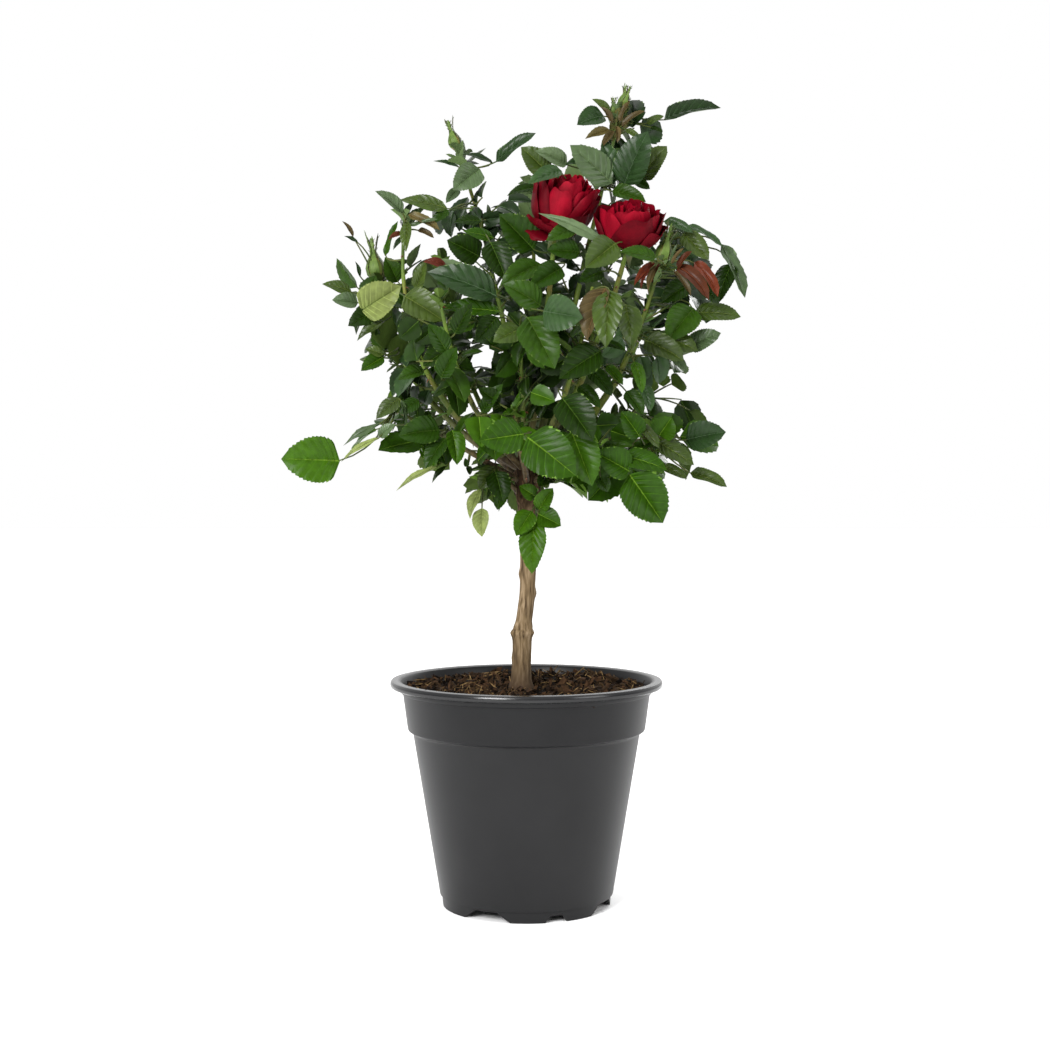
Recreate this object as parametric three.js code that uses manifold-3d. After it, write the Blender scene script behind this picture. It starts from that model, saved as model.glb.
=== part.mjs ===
// A standard rose in a nursery pot: one bare stem with a head of thorny canes, red double blooms,
// buds and five-part leaves, growing in potting soil.
// Millimetres, +Z up. The origin is on the pot's axis at the level of its feet; -Y is the front.
import * as THREE from 'three';
import { mergeVertices } from 'three/addons/utils/BufferGeometryUtils.js';
import Module from 'manifold-3d';

const wasm = await Module();
wasm.setup();

// Driving dimensions
const GAP = 0.3; // clearance between pieces that touch
const POT = {
  height: 157.4, rimRadius: 95, rimDepth: 5, mouthRadius: 87.4,
  collarTop: 86.1, collarFoot: 83.2, collarDepth: 31, shoulder: 8,
  bodyTop: 78.8, bodyFoot: 60.6, wall: 1.6, footHeight: 8, footRadius: 59.2, footWall: 2.6, sides: 32,
};
const NOTCHES = [-28, 22, 65, 100, 152, 202, 245, 280]; // angles of the gaps between the feet, degrees
const NOTCH = { topWidth: 9, footWidth: 21, height: 6.6 };
const SOIL = { level: 149.5, edgeDrop: 4, flat: 16 };
const TRUNK = {
  foot: [-3.8, 0], knee: [-2.6, 0.5], waist: [0.8, 1], head: [0.8, 0],
  kneeHeight: 190, waistHeight: 222, headHeight: 296, top: 318,
  flare: 9.6, ankle: 6.6, kneeRadius: 6.9, waistRadius: 5.3, headRadius: 8.7, crownRadius: 6, sides: 8,
};
const TIERS = [286, 294.5, 303.5, 312]; // heights on the head where canes leave it
const ROOT_OFFSET = 4.4; // of a cane's root from the axis of the head
const CANE = { root: 2.2, tip: 1.5, sides: 5, steps: 4 };
const STEM_TIP = 1; // radius of a leafy shoot at its tip
const LEAF = {
  stalk: 1.3, thickness: 0.7, widthShare: 0.74, wideAt: 0.42, spread: 70, sag: 0.14, tries: 48, apart: 6, over: 20,
  // stalk length, and each pair's place along it and size, as shares of the stalk and of the end leaflet
  five: { stalk: 1.32, pairs: [[0.3, 0.78], [0.72, 0.92]] },
  three: { stalk: 0.74, pairs: [[0.55, 0.9]] },
};
const BUD = { radius: 4.6, length: 15 };
const BLOOM = { radius: 22.5, height: 36, petal: 1.4, hip: 5 };
const GOLDEN = 137.508;
const CROWN = new THREE.Box3(new THREE.Vector3(-158, -141, 222), new THREE.Vector3(155, 141, 571)); // holds every leaf

// The canes. tip: where the leafy shoot ends; from: bearing of the root round the head, degrees;
// spread and rise: how far out and up the cane's bend lies; bare: share of the cane without leaves;
// leaves, size: count and length of the leaflets; reach: leaves that end at a set place, as [share, x, y, z].
const SHOOTS = [
  { name: 'left_tall', tip: [-48, 5, 526], tier: 3, from: 180, spread: 0.25, rise: 0.55, bare: 0.4, leaves: 7, size: 25, end: 'bud',
    reach: [[0.86, 6, -22, 530]] },
  { name: 'left', tip: [-82, -30, 474], tier: 2, from: 200, spread: 1.15, rise: 0.3, bare: 0.4, leaves: 7, size: 31, end: 'leaf',
    reach: [[0.85, -100, -45, 494]] },
  { name: 'left_bud', tip: [-105, 22, 437], tier: 2, from: 163, spread: 0.85, rise: 0.3, bare: 0.4, leaves: 7, size: 31, end: 'bud',
    reach: [[0.8, -140, 10, 432]] },
  { name: 'left_low', tip: [-90, -48, 345], tier: 1, from: 213, spread: 0.5, rise: 0.5, bare: 0, leaves: 7, size: 36, end: 'leaf',
    reach: [[0.92, -157, -90, 309], [0.55, -98, -66, 318]] },
  { name: 'left_hanging', tip: [-30, -14, 296], tier: 0, from: 205, spread: 0.6, rise: 1.6, bare: 0, leaves: 1, size: 24, end: 'leaf',
    reach: [[0.8, -33, -26, 262]] },
  { name: 'front_left', tip: [-56, -85, 414], tier: 2, from: 236, spread: 0.8, rise: 0.35, bare: 0.5, leaves: 7, size: 34, end: 'leaf' },
  { name: 'front_mid', tip: [-4, -64, 394], tier: 2, from: 262, spread: 0.55, rise: 0.45, bare: 0.35, leaves: 6, size: 33, end: 'leaf' },
  { name: 'front', tip: [42, -100, 420], tier: 2, from: 289, spread: 0.7, rise: 0.4, bare: 0.5, leaves: 7, size: 35, end: 'leaf' },
  { name: 'front_right', tip: [89, -55, 441], tier: 2, from: 328, spread: 0.65, rise: 0.2, bare: 0.5, leaves: 7, size: 31, end: 'bud' },
  { name: 'front_low', tip: [-8, -82, 342], tier: 1, from: 268, spread: 0.5, rise: 0.4, bare: 0, leaves: 5, size: 38, end: 'leaf',
    reach: [[0.7, -38, -104, 308], [0.8, 28, -112, 296], [1, -6, -140, 326]] },
  { name: 'front_right_low', tip: [56, -62, 316], tier: 1, from: 311, spread: 0.5, rise: 1, bare: 0, leaves: 6, size: 40, end: 'leaf',
    reach: [[0.9, 89, -78, 268]] },
  { name: 'sprig', tip: [9, -16, 284], tier: 0, from: 298, spread: 0.7, rise: 0.2, bare: 0, leaves: 0, size: 32, end: 'leaf',
    reach: [[0.9, 4, -30, 233]] },
  { name: 'right_low', tip: [86, -24, 326], tier: 1, from: 344, spread: 0.5, rise: 0.7, bare: 0, leaves: 6, size: 34, end: 'leaf',
    reach: [[0.9, 137, -20, 323], [0.8, 137, -30, 292]] },
  { name: 'right_mid', tip: [100, 50, 385], tier: 1, from: 22, spread: 0.8, rise: 0.35, bare: 0.4, leaves: 7, size: 34, end: 'leaf' },
  { name: 'right', tip: [102, 14, 468], tier: 2, from: 8, spread: 0.75, rise: 0.3, bare: 0.45, leaves: 7, size: 33, end: 'leaf',
    reach: [[0.9, 154, 16, 424]] },
  { name: 'top_right', tip: [66, 5, 555], tier: 3, from: 5, spread: 0.45, rise: 0.4, bare: 0.4, leaves: 6, size: 30, end: 'bud',
    reach: [[0.86, 135, 20, 561], [0.52, 36, -18, 524], [0.48, 98, -20, 536]] },
  { name: 'back_high', tip: [6, 48, 508], tier: 3, from: 95, spread: 0.6, rise: 0.4, bare: 0.4, leaves: 6, size: 32, end: 'leaf' },
  { name: 'back_right', tip: [60, 86, 466], tier: 2, from: 54, spread: 0.8, rise: 0.35, bare: 0.4, leaves: 6, size: 33, end: 'bud' },
  { name: 'back', tip: [0, 104, 438], tier: 2, from: 92, spread: 0.8, rise: 0.35, bare: 0.4, leaves: 5, size: 34, end: 'leaf',
    reach: [[0.8, 2, 140, 446]] },
  { name: 'back_left', tip: [-62, 80, 455], tier: 2, from: 128, spread: 0.8, rise: 0.35, bare: 0.4, leaves: 6, size: 33, end: 'leaf' },
  { name: 'back_low_left', tip: [-62, 76, 350], tier: 1, from: 128, spread: 0.5, rise: 0.5, bare: 0, leaves: 6, size: 37, end: 'leaf' },
  { name: 'back_low', tip: [2, 92, 342], tier: 1, from: 90, spread: 0.5, rise: 0.5, bare: 0, leaves: 6, size: 37, end: 'leaf' },
  { name: 'back_low_right', tip: [64, 74, 342], tier: 1, from: 50, spread: 0.5, rise: 0.5, bare: 0, leaves: 6, size: 37, end: 'leaf' },
];
// The flowering canes. tip: where the bloom sits on its stalk; faces: the way it opens.
const BLOOMS = [
  { name: 'left', tip: [18.9, -41.7, 463.6], tier: 3, from: 255, spread: 0.6, rise: 0.3, bare: 0.86, faces: [0.3, -0.35, 0.88] },
  { name: 'right', tip: [67.2, -54, 451.5], tier: 3, from: 312, spread: 0.6, rise: 0.3, bare: 0.86, faces: [0, -0.45, 0.89] },
];

const material = (color, roughness) => new THREE.MeshStandardMaterial({ color, roughness, metalness: 0 });
const FINISH = {
  pot: material(0x3a3a3b, 0.5), soil: material(0x3a2a1c, 0.95), bark: material(0x7a6753, 0.85),
  cane: material(0x5f7a2e, 0.6), leaf: material(0x2f5a24, 0.45), petal: material(0xa50d26, 0.55),
};

// A repeatable stream of numbers from 0 to 1.
function seeded(seed) {
  let state = seed >>> 0;
  return () => {
    state = (state + 0x6d2b79f5) >>> 0;
    let mixed = Math.imul(state ^ (state >>> 15), state | 1);
    mixed ^= mixed + Math.imul(mixed ^ (mixed >>> 7), mixed | 61);
    return ((mixed ^ (mixed >>> 14)) >>> 0) / 4294967296;
  };
}

const vector = (x, y, z) => new THREE.Vector3(x, y, z);
const UP = vector(0, 0, 1);
const radians = THREE.MathUtils.degToRad;
const mix = THREE.MathUtils.lerp;

// Closed geometry and solids that can be joined and cut
function solidOf(geometry) {
  const bare = geometry.clone();
  bare.deleteAttribute('normal');
  bare.deleteAttribute('uv');
  const merged = mergeVertices(bare, 1e-3);
  return new wasm.Manifold(new wasm.Mesh({
    numProp: 3,
    vertProperties: merged.attributes.position.array,
    triVerts: new Uint32Array(merged.index.array),
  }));
}

// The largest body of a solid: loose scraps are dropped and sealed hollows filled.
function wholeBody(solid) {
  return solid.decompose().reduce((best, body) => (body.volume() > best.volume() ? body : best));
}

function meshOf(name, solid, finish) {
  const made = solid.getMesh();
  const geometry = new THREE.BufferGeometry();
  geometry.setAttribute('position', new THREE.BufferAttribute(made.vertProperties, 3));
  geometry.setIndex(new THREE.BufferAttribute(made.triVerts, 1));
  geometry.computeVertexNormals();
  const mesh = new THREE.Mesh(geometry, finish);
  mesh.name = name;
  return mesh;
}

// Moves every vertex of a geometry to where place(x, y, z) says.
function shaped(geometry, place) {
  const position = geometry.attributes.position;
  for (let i = 0; i < position.count; i++) {
    const moved = place(position.getX(i), position.getY(i), position.getZ(i));
    position.setXYZ(i, moved.x, moved.y, moved.z);
  }
  return geometry;
}

// The stretch of a curve between two shares of its length.
function stretch(curve, start, end, steps) {
  return new THREE.CatmullRomCurve3(Array.from({ length: steps + 1 }, (_, i) => curve.getPointAt(mix(start, end, i / steps))));
}

// A closed tapering limb along a curve.
function limb(curve, radiusAt, sides, steps) {
  const frames = curve.computeFrenetFrames(steps);
  const tube = new THREE.CylinderGeometry(1, 1, 1, sides, steps);
  return solidOf(shaped(tube, (x, y, z) => {
    const share = y + 0.5;
    const step = Math.round(share * steps);
    const radius = radiusAt(share);
    return curve.getPointAt(share)
      .addScaledVector(frames.normals[step], radius * x)
      .addScaledVector(frames.binormals[step], -radius * z);
  }));
}

// The pot: one lathe-turned wall with its rim, collar, floor and foot ring
function pot() {
  const p = POT;
  const rimFoot = p.height - p.rimDepth;
  const collarFoot = p.height - p.collarDepth;
  const bodyTop = collarFoot - p.shoulder;
  const floor = p.footHeight + p.wall;
  const profile = [
    [0, p.footHeight], [p.footRadius - p.footWall, p.footHeight], [p.footRadius - p.footWall, 0],
    [p.footRadius - 0.6, 0], [p.footRadius, p.footHeight - 0.4], [p.bodyFoot, p.footHeight],
    [p.bodyTop, bodyTop], [p.collarFoot, collarFoot], [p.collarTop, rimFoot - 5],
    [p.collarTop + 1.4, rimFoot - 0.4], [p.rimRadius - 0.8, rimFoot], [p.rimRadius, rimFoot + 2],
    [p.rimRadius - 1.4, p.height], [p.mouthRadius, p.height - 0.6], [p.collarTop - p.wall, rimFoot - 5], [p.collarFoot - p.wall, collarFoot],
    [p.bodyTop - p.wall, bodyTop], [p.bodyFoot - p.wall, floor], [0, floor],
  ].map(([radius, height]) => new THREE.Vector2(radius, height));
  const turned = solidOf(new THREE.LatheGeometry(profile, p.sides).rotateX(Math.PI / 2));
  return NOTCHES.reduce((wall, angle) => wall.subtract(notch(angle)), turned);
}

// The gap between two feet, wider at the ground, at an angle from the front.
function notch(angle) {
  const half = (width) => width / 2;
  const outline = new THREE.Shape([
    new THREE.Vector2(-half(NOTCH.footWidth), -1), new THREE.Vector2(half(NOTCH.footWidth), -1),
    new THREE.Vector2(half(NOTCH.topWidth), NOTCH.height), new THREE.Vector2(-half(NOTCH.topWidth), NOTCH.height),
  ]);
  const reach = 2 * POT.footWall + 8;
  const block = new THREE.ExtrudeGeometry(outline, { depth: reach, bevelEnabled: false });
  block.rotateX(Math.PI / 2).translate(0, -POT.footRadius + POT.footWall + 4, 0).rotateZ(radians(angle));
  return solidOf(block);
}

// The soil fills the pot to just below its rim.
function soil() {
  const p = POT;
  const collarFoot = p.height - p.collarDepth;
  const clear = p.wall + GAP + 0.2;
  const edge = SOIL.level - SOIL.edgeDrop;
  const profile = [
    [0, p.footHeight + p.wall + GAP], [p.bodyFoot - clear, p.footHeight + p.wall + GAP],
    [p.bodyTop - clear, collarFoot - p.shoulder], [p.collarFoot - clear, collarFoot + 0.6],
    [p.collarTop - clear - 0.4, edge], [p.collarTop - 12, SOIL.level - 1], [SOIL.flat, SOIL.level], [0, SOIL.level],
  ].map(([radius, height]) => new THREE.Vector2(radius, height));
  return solidOf(new THREE.LatheGeometry(profile, p.sides).rotateX(Math.PI / 2));
}

// The trunk: root flare, knee, slim waist and the swollen head that carries the canes
const trunkFoot = SOIL.level + GAP;
const trunkCurve = new THREE.CatmullRomCurve3([
  vector(...TRUNK.foot, trunkFoot), vector(...TRUNK.knee, TRUNK.kneeHeight), vector(...TRUNK.waist, TRUNK.waistHeight),
  vector(...TRUNK.head, TRUNK.headHeight), vector(...TRUNK.head, TRUNK.top),
]);

function trunkRadius(height) {
  const girths = [
    [trunkFoot, TRUNK.flare], [trunkFoot + 7, TRUNK.ankle + 0.6], [trunkFoot + 18, TRUNK.ankle],
    [TRUNK.kneeHeight, TRUNK.kneeRadius], [TRUNK.kneeHeight + 8, TRUNK.waistRadius + 0.4],
    [TRUNK.waistHeight, TRUNK.waistRadius], [TRUNK.headHeight - 26, TRUNK.waistRadius + 0.9],
    [TRUNK.headHeight - 8, TRUNK.headRadius], [TRUNK.top - 8, TRUNK.headRadius - 0.4], [TRUNK.top, TRUNK.crownRadius],
  ];
  const next = Math.max(1, girths.findIndex(([level]) => level >= height));
  const [[low, thick], [high, thin]] = [girths[next - 1], girths[next]];
  return mix(thick, thin, THREE.MathUtils.clamp((height - low) / (high - low), 0, 1));
}

const trunkRadiusAt = (share) => trunkRadius(Math.min(trunkCurve.getPointAt(share).z, TRUNK.top));
const TRUNK_STEPS = 16;
const trunk = limb(trunkCurve, trunkRadiusAt, TRUNK.sides, TRUNK_STEPS);
const trunkRoom = limb(trunkCurve, (share) => trunkRadiusAt(share) + GAP, TRUNK.sides, TRUNK_STEPS);

// A cane's centre line, from its root inside the head out and up to its tip.
function caneCurve(cane) {
  const bearing = radians(cane.from);
  const root = vector(TRUNK.head[0] + ROOT_OFFSET * Math.cos(bearing), TRUNK.head[1] + ROOT_OFFSET * Math.sin(bearing),
    TIERS[cane.tier]);
  const tip = vector(...cane.tip);
  const bend = vector(mix(root.x, tip.x, cane.spread), mix(root.y, tip.y, cane.spread), mix(root.z, tip.z, cane.rise));
  return new THREE.QuadraticBezierCurve3(root, bend, tip);
}

const canes = [...SHOOTS, ...BLOOMS.map((bloom) => ({ ...bloom, flower: true, leaves: 0 }))];
canes.forEach((cane, index) => {
  cane.curve = caneCurve(cane);
  cane.length = cane.curve.getLength();
  cane.seed = 11 + 37 * index;
  cane.radiusAt = (share) => mix(CANE.root, cane.flower ? CANE.tip : STEM_TIP, share);
  cane.leafyFrom = cane.bare ? cane.bare + GAP / cane.length : 0;
});

// The points a mass keeps to itself: its stem, and the ball of its bloom.
const KEEP_STEPS = 10;
canes.forEach((cane) => {
  cane.keep = [];
  for (let i = 0; i <= KEEP_STEPS; i++) {
    cane.keep.push({ at: cane.curve.getPointAt(mix(cane.leafyFrom, 1, i / KEEP_STEPS)), room: 0 });
  }
  if (cane.flower) {
    const middle = vector(...cane.faces).normalize().multiplyScalar(BLOOM.height * 0.5).add(vector(...cane.tip));
    cane.keep.push({ at: middle, room: BLOOM.radius + 1 });
  }
});

const distanceTo = (cane, point) => Math.min(...cane.keep.map(({ at, room }) => at.distanceTo(point) - room));
const SPACE_MARGIN = 1.2;

// True if a point lies in this mass's own space: nearer to its stem than to any other's.
function inOwnSpace(cane, point) {
  if (!CROWN.containsPoint(point)) return false;
  const own = distanceTo(cane, point);
  return canes.every((other) => other === cane || distanceTo(other, point) > own + SPACE_MARGIN);
}

// Bare limbs, as short straight stretches, that leaves stay clear of
const LIMB_STEPS = 14;
const limbs = [];
function addLimb(curve, radiusAt, end) {
  for (let i = 0; i < LIMB_STEPS; i++) {
    const [low, high] = [i, i + 1].map((step) => (end * step) / LIMB_STEPS);
    limbs.push({ line: new THREE.Line3(curve.getPointAt(low), curve.getPointAt(high)), radius: radiusAt(low) });
  }
}
addLimb(trunkCurve, trunkRadiusAt, 1);
canes.filter((cane) => cane.bare).forEach((cane) => addLimb(cane.curve, cane.radiusAt, cane.bare));

const LIMB_MARGIN = 1.6;
// True if a leaf of this cane may pass through a point: in its space, not far over its tip, clear of limbs.
const nearest = vector(0, 0, 0);
function isFree(cane, point) {
  if (point.z > cane.tip[2] + LEAF.over || !inOwnSpace(cane, point)) return false;
  return limbs.every(({ line, radius }) => (
    line.closestPointToPoint(point, true, nearest).distanceTo(point) > radius + LIMB_MARGIN));
}

// A leaf lies flat at first, a along its stalk and b across, and is bent down in an arc as it is placed.
function leafPoint(leaf, [a, b], c = 0) {
  const turn = a / leaf.arc;
  const lift = c - LEAF.sag * Math.abs(b);
  return leaf.root.clone()
    .addScaledVector(leaf.toward, leaf.arc * Math.sin(turn) + lift * Math.sin(turn))
    .addScaledVector(leaf.face, -leaf.arc * (1 - Math.cos(turn)) + lift * Math.cos(turn))
    .addScaledVector(leaf.side, b);
}

// Sets a leaf out: which way it looks, how it bends, and its leaflets from the end one down.
function leafPlan({ root, toward, stalk, size, bend, roll }) {
  const middle = root.clone().addScaledVector(toward, stalk);
  const outlook = vector(middle.x, middle.y, 0).normalize().multiplyScalar(0.8).add(vector(0, -0.35, 0.45));
  const face = outlook.addScaledVector(toward, -outlook.dot(toward)).normalize().applyAxisAngle(toward, radians(roll));
  const { pairs } = stalk > 1.1 * size ? LEAF.five : LEAF.three;
  const leaflets = [{ foot: stalk, hand: 1, spread: 0, length: size }];
  pairs.forEach(([share, scale]) => [1, -1].forEach((hand) => {
    leaflets.push({ foot: stalk * share, hand, spread: LEAF.spread, length: size * scale });
  }));
  return { root, toward, face, side: face.clone().cross(toward), stalk, arc: (stalk + size) / radians(bend), leaflets };
}

// A place on a leaflet: x along its midrib from 0 to 1, z across from -1 (towards the root) to 1.
function leafletPoint({ foot, hand, spread, length }, x, z) {
  const [cos, sin] = [Math.cos(radians(spread)), Math.sin(radians(spread))];
  const across = 0.5 * LEAF.widthShare * length * z;
  return [foot + cos * length * x + sin * across, hand * (LEAF.stalk / 2 + sin * length * x - cos * across)];
}

// Points spread over a leaflet, to test where it lies.
function leafletSamples(leaf, leaflet) {
  const places = [[0.2, 0], [0.4, 0], [0.6, 0], [0.8, 0], [1, 0]];
  [-1, -0.5, 0.5, 1].forEach((z) => places.push([LEAF.wideAt, z], [mix(LEAF.wideAt, 1, 0.4), 0.6 * z], [0.25, 0.55 * z]));
  return places.map(([x, z]) => leafPoint(leaf, leafletPoint(leaflet, x, z)));
}

// One leaf as a solid: the outline of its stalk and leaflets, as thick as a leaf, bent into place.
function leafSolid(leaf) {
  const half = LEAF.stalk / 2;
  const edge = (hand) => {
    const points = [[0, hand * half / 2]];
    leaf.leaflets.filter((leaflet) => leaflet.spread && leaflet.hand === hand).sort((one, two) => one.foot - two.foot)
      .forEach((leaflet) => points.push([leaflet.foot - half, hand * half],
        ...[[LEAF.wideAt, -1], [1, 0], [LEAF.wideAt, 1]].map(([x, z]) => leafletPoint(leaflet, x, z)),
        [leaflet.foot + half, hand * half]));
    const last = leaf.leaflets.find((leaflet) => !leaflet.spread);
    points.push([leaf.stalk, hand * half]);
    if (last) points.push([last.foot + LEAF.wideAt * last.length, hand * 0.5 * LEAF.widthShare * last.length]);
    return points;
  };
  const tip = leaf.leaflets.some((leaflet) => !leaflet.spread) ? [[leaf.stalk + leaf.leaflets[0].length, 0]] : [];
  const outline = [...edge(-1), ...tip, ...edge(1).reverse()].map(([x, y]) => new THREE.Vector2(x, y));
  const plate = new THREE.ExtrudeGeometry(new THREE.Shape(outline), { depth: LEAF.thickness, bevelEnabled: false });
  return solidOf(shaped(plate, (x, y, z) => leafPoint(leaf, [x, y], z - LEAF.thickness / 2)));
}

// The direction at an angle round a stem and lifted away from its tangent.
function awayFrom(tangent, turn, lift) {
  const reference = Math.abs(tangent.x) < 0.8 ? vector(1, 0, 0) : vector(0, 1, 0);
  const first = reference.cross(tangent).normalize().applyAxisAngle(tangent, radians(turn));
  return tangent.clone().multiplyScalar(Math.cos(radians(lift))).addScaledVector(first, Math.sin(radians(lift)));
}

// The leaves of a cane: those that reach a set place, then others tried at random along it until enough fit.
// A leaflet that would leave the cane's space, touch a limb or crowd another leaf of the cane is skipped.
function leavesOf(cane) {
  const random = seeded(cane.seed);
  const found = [];
  const taken = [];
  const fits = (point) => isFree(cane, point) && taken.every((other) => other.distanceTo(point) > LEAF.apart);
  const keepIfItFits = (plan, least) => {
    if (![0.5, 0.75, 1].every((share) => isFree(cane, leafPoint(plan, [plan.stalk * share, 0])))) return false;
    const samples = plan.leaflets.map((leaflet) => leafletSamples(plan, leaflet));
    const kept = samples.map((points) => points.every(fits));
    const leaflets = plan.leaflets.filter((_, i) => kept[i]);
    if (leaflets.length < least) return false;
    taken.push(...samples.filter((_, i) => kept[i]).flat());
    found.push({ ...plan, leaflets });
    return true;
  };
  (cane.reach ?? []).forEach(([share, ...end]) => {
    const root = cane.curve.getPointAt(mix(cane.leafyFrom, 1, share));
    const goal = vector(...end);
    const size = Math.min(cane.size * 1.15, goal.distanceTo(root) * 0.55);
    const aim = goal.clone();
    let plan;
    for (let round = 0; round < 8; round++) {
      const toward = aim.clone().sub(root).normalize();
      plan = leafPlan({ root, toward, stalk: aim.distanceTo(root) - size, size, bend: 24, roll: 0 });
      aim.add(goal).sub(leafPoint(plan, [plan.stalk + size, 0]));
    }
    keepIfItFits(plan, 1);
  });
  for (let i = 0; i < cane.leaves; i++) {
    for (let attempt = 0; attempt < LEAF.tries; attempt++) {
      const [place, turn, lift, grow, roll, bow] = Array.from({ length: 6 }, random);
      const share = mix(0.06, 1, (i + place) / cane.leaves);
      const at = mix(cane.leafyFrom, 1, share);
      const size = cane.size * mix(1.08, 0.86, share) * mix(0.88, 1.12, grow) * (1 - 0.3 * attempt / LEAF.tries);
      const stalk = size * (attempt % 2 ? LEAF.three : LEAF.five).stalk;
      const toward = awayFrom(cane.curve.getTangentAt(at), i * GOLDEN + 360 * turn, mix(38, 80, lift));
      const root = cane.curve.getPointAt(at);
      const plan = leafPlan({ root, toward, stalk, size, bend: mix(45, 95, bow), roll: mix(-34, 34, roll) });
      if (keepIfItFits(plan, attempt < LEAF.tries / 2 ? 3 : 2)) break;
    }
  }
  return found;
}

// A closed bud on the end of a shoot.
function bud(cane) {
  const axis = cane.curve.getTangentAt(1);
  const tip = cane.curve.getPointAt(1);
  const [side, other] = [awayFrom(axis, 0, 90), awayFrom(axis, 90, 90)];
  return solidOf(shaped(new THREE.SphereGeometry(1, 6, 4), (x, y, z) => {
    const share = (1 + y) / 2;
    const radius = BUD.radius * (1.25 - 0.55 * share);
    return tip.clone().addScaledVector(axis, BUD.length * share - 1.5)
      .addScaledVector(side, radius * x).addScaledVector(other, -radius * z);
  }));
}

// A mass of foliage: one shoot with its leaves and bud, cut clear of the trunk.
function foliage(cane) {
  const start = cane.leafyFrom;
  const radiusAt = (share) => cane.radiusAt(mix(start, 1, share));
  let mass = limb(stretch(cane.curve, start, 1, 4), radiusAt, 3, 4);
  leavesOf(cane).forEach((plan) => {
    mass = mass.add(leafSolid(plan));
  });
  if (cane.end === 'bud') mass = mass.add(bud(cane));
  return wholeBody(mass.subtract(trunkRoom));
}

// One petal of a double bloom: a curved shell of a cup that leans out towards its lip.
const PETAL = { half: 46, height: 0.9 };
function petal(frame, bearing) {
  return solidOf(shaped(new THREE.SphereGeometry(1, 6, 3), (x, y, z) => {
    const share = (1 + x) / 2;
    const cup = Math.sin(Math.min(1, share * 1.25) * Math.PI * 0.5);
    const radius = BLOOM.radius * (0.06 + 0.94 * cup) + y * BLOOM.petal / 2;
    const angle = radians(bearing + PETAL.half * z * (0.6 + 0.4 * cup));
    return frame.foot.clone().addScaledVector(frame.axis, 1 + BLOOM.height * PETAL.height * share)
      .addScaledVector(frame.side, radius * Math.cos(angle)).addScaledVector(frame.other, radius * Math.sin(angle));
  }));
}

// A bloom on its stalk: hip, a round heart and a ring of petals.
const PETALS = 5;
function bloom(cane) {
  const axis = vector(...cane.faces).normalize();
  const frame = { foot: vector(...cane.tip), axis, side: awayFrom(axis, 0, 90), other: awayFrom(axis, 90, 90) };
  const radiusAt = (share) => cane.radiusAt(mix(cane.leafyFrom, 1, share));
  let flower = limb(stretch(cane.curve, cane.leafyFrom, 1, 2), radiusAt, 5, 2);
  const ball = (radius, height, middle) => solidOf(shaped(new THREE.SphereGeometry(1, 6, 3), (x, y, z) => (
    frame.foot.clone().addScaledVector(axis, middle + height * y)
      .addScaledVector(frame.side, radius * x).addScaledVector(frame.other, -radius * z))));
  flower = flower.add(ball(BLOOM.hip, 5, 2)).add(ball(BLOOM.radius * 0.62, BLOOM.height * 0.46, BLOOM.height * 0.5));
  for (let i = 0; i < PETALS; i++) flower = flower.add(petal(frame, (360 * i) / PETALS));
  return wholeBody(flower);
}

const rose = new THREE.Group();
rose.add(meshOf('pot', pot(), FINISH.pot), meshOf('soil', soil(), FINISH.soil), meshOf('trunk', trunk, FINISH.bark));
canes.forEach((cane) => {
  if (cane.bare) {
    const path = stretch(cane.curve, 0, cane.bare, CANE.steps);
    const bough = limb(path, (share) => cane.radiusAt(share * cane.bare), CANE.sides, CANE.steps);
    const name = cane.flower ? `bough_bloom_${cane.name}` : `bough_${cane.name}`;
    rose.add(meshOf(name, wholeBody(bough.subtract(trunkRoom)), FINISH.cane));
  }
  if (cane.flower) rose.add(meshOf(`bloom_${cane.name}`, bloom(cane), FINISH.petal));
  else rose.add(meshOf(`foliage_${cane.name}`, foliage(cane), FINISH.leaf));
});

export default rose;
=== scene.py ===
# %% [markdown]
# # A potted standard rose
# A standard rose is a bush that grows on top of a bare stem. This lesson dresses a small one: a nursery
# pot, potting soil, a stem with a swollen head, prickly canes, leaves, buds and two crimson blooms.
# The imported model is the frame. Every piece made here stands for one or more of its solids and stays
# where they are, so nothing has to be fitted by eye. Sizes are in millimetres, and MM makes them metres.

# %% Load the frame
import math
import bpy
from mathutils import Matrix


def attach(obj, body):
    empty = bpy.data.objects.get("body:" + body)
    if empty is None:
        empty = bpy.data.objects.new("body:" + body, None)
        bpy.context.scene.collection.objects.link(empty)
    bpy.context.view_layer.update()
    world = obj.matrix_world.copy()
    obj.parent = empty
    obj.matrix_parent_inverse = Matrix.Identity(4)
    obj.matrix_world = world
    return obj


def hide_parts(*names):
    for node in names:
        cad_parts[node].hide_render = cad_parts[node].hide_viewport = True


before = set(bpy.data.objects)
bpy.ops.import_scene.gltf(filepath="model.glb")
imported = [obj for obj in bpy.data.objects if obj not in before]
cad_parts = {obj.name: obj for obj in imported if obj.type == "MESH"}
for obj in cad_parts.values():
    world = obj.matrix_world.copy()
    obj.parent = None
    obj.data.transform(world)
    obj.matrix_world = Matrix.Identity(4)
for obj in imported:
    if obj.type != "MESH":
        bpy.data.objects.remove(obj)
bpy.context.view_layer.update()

from types import SimpleNamespace

import bmesh
import bpy
import numpy as np
from mathutils import Vector, noise

MM = 0.001
nodes = sorted(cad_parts)
print("solids in the frame:", len(nodes))

# %% [markdown]
# ## Camera, floor and light
# The photograph is a studio shot on white, taken from a little under the blooms with a longish lens.
# The world is a light tent, bright overhead and behind and dimmer in front, so that glossy leaves have
# something to reflect. The camera itself sees plain white behind the plant. One large lamp from the upper
# left gives the leaves their highlights, and two smaller ones, from the right and from behind, keep those
# sides from going flat.

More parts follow.
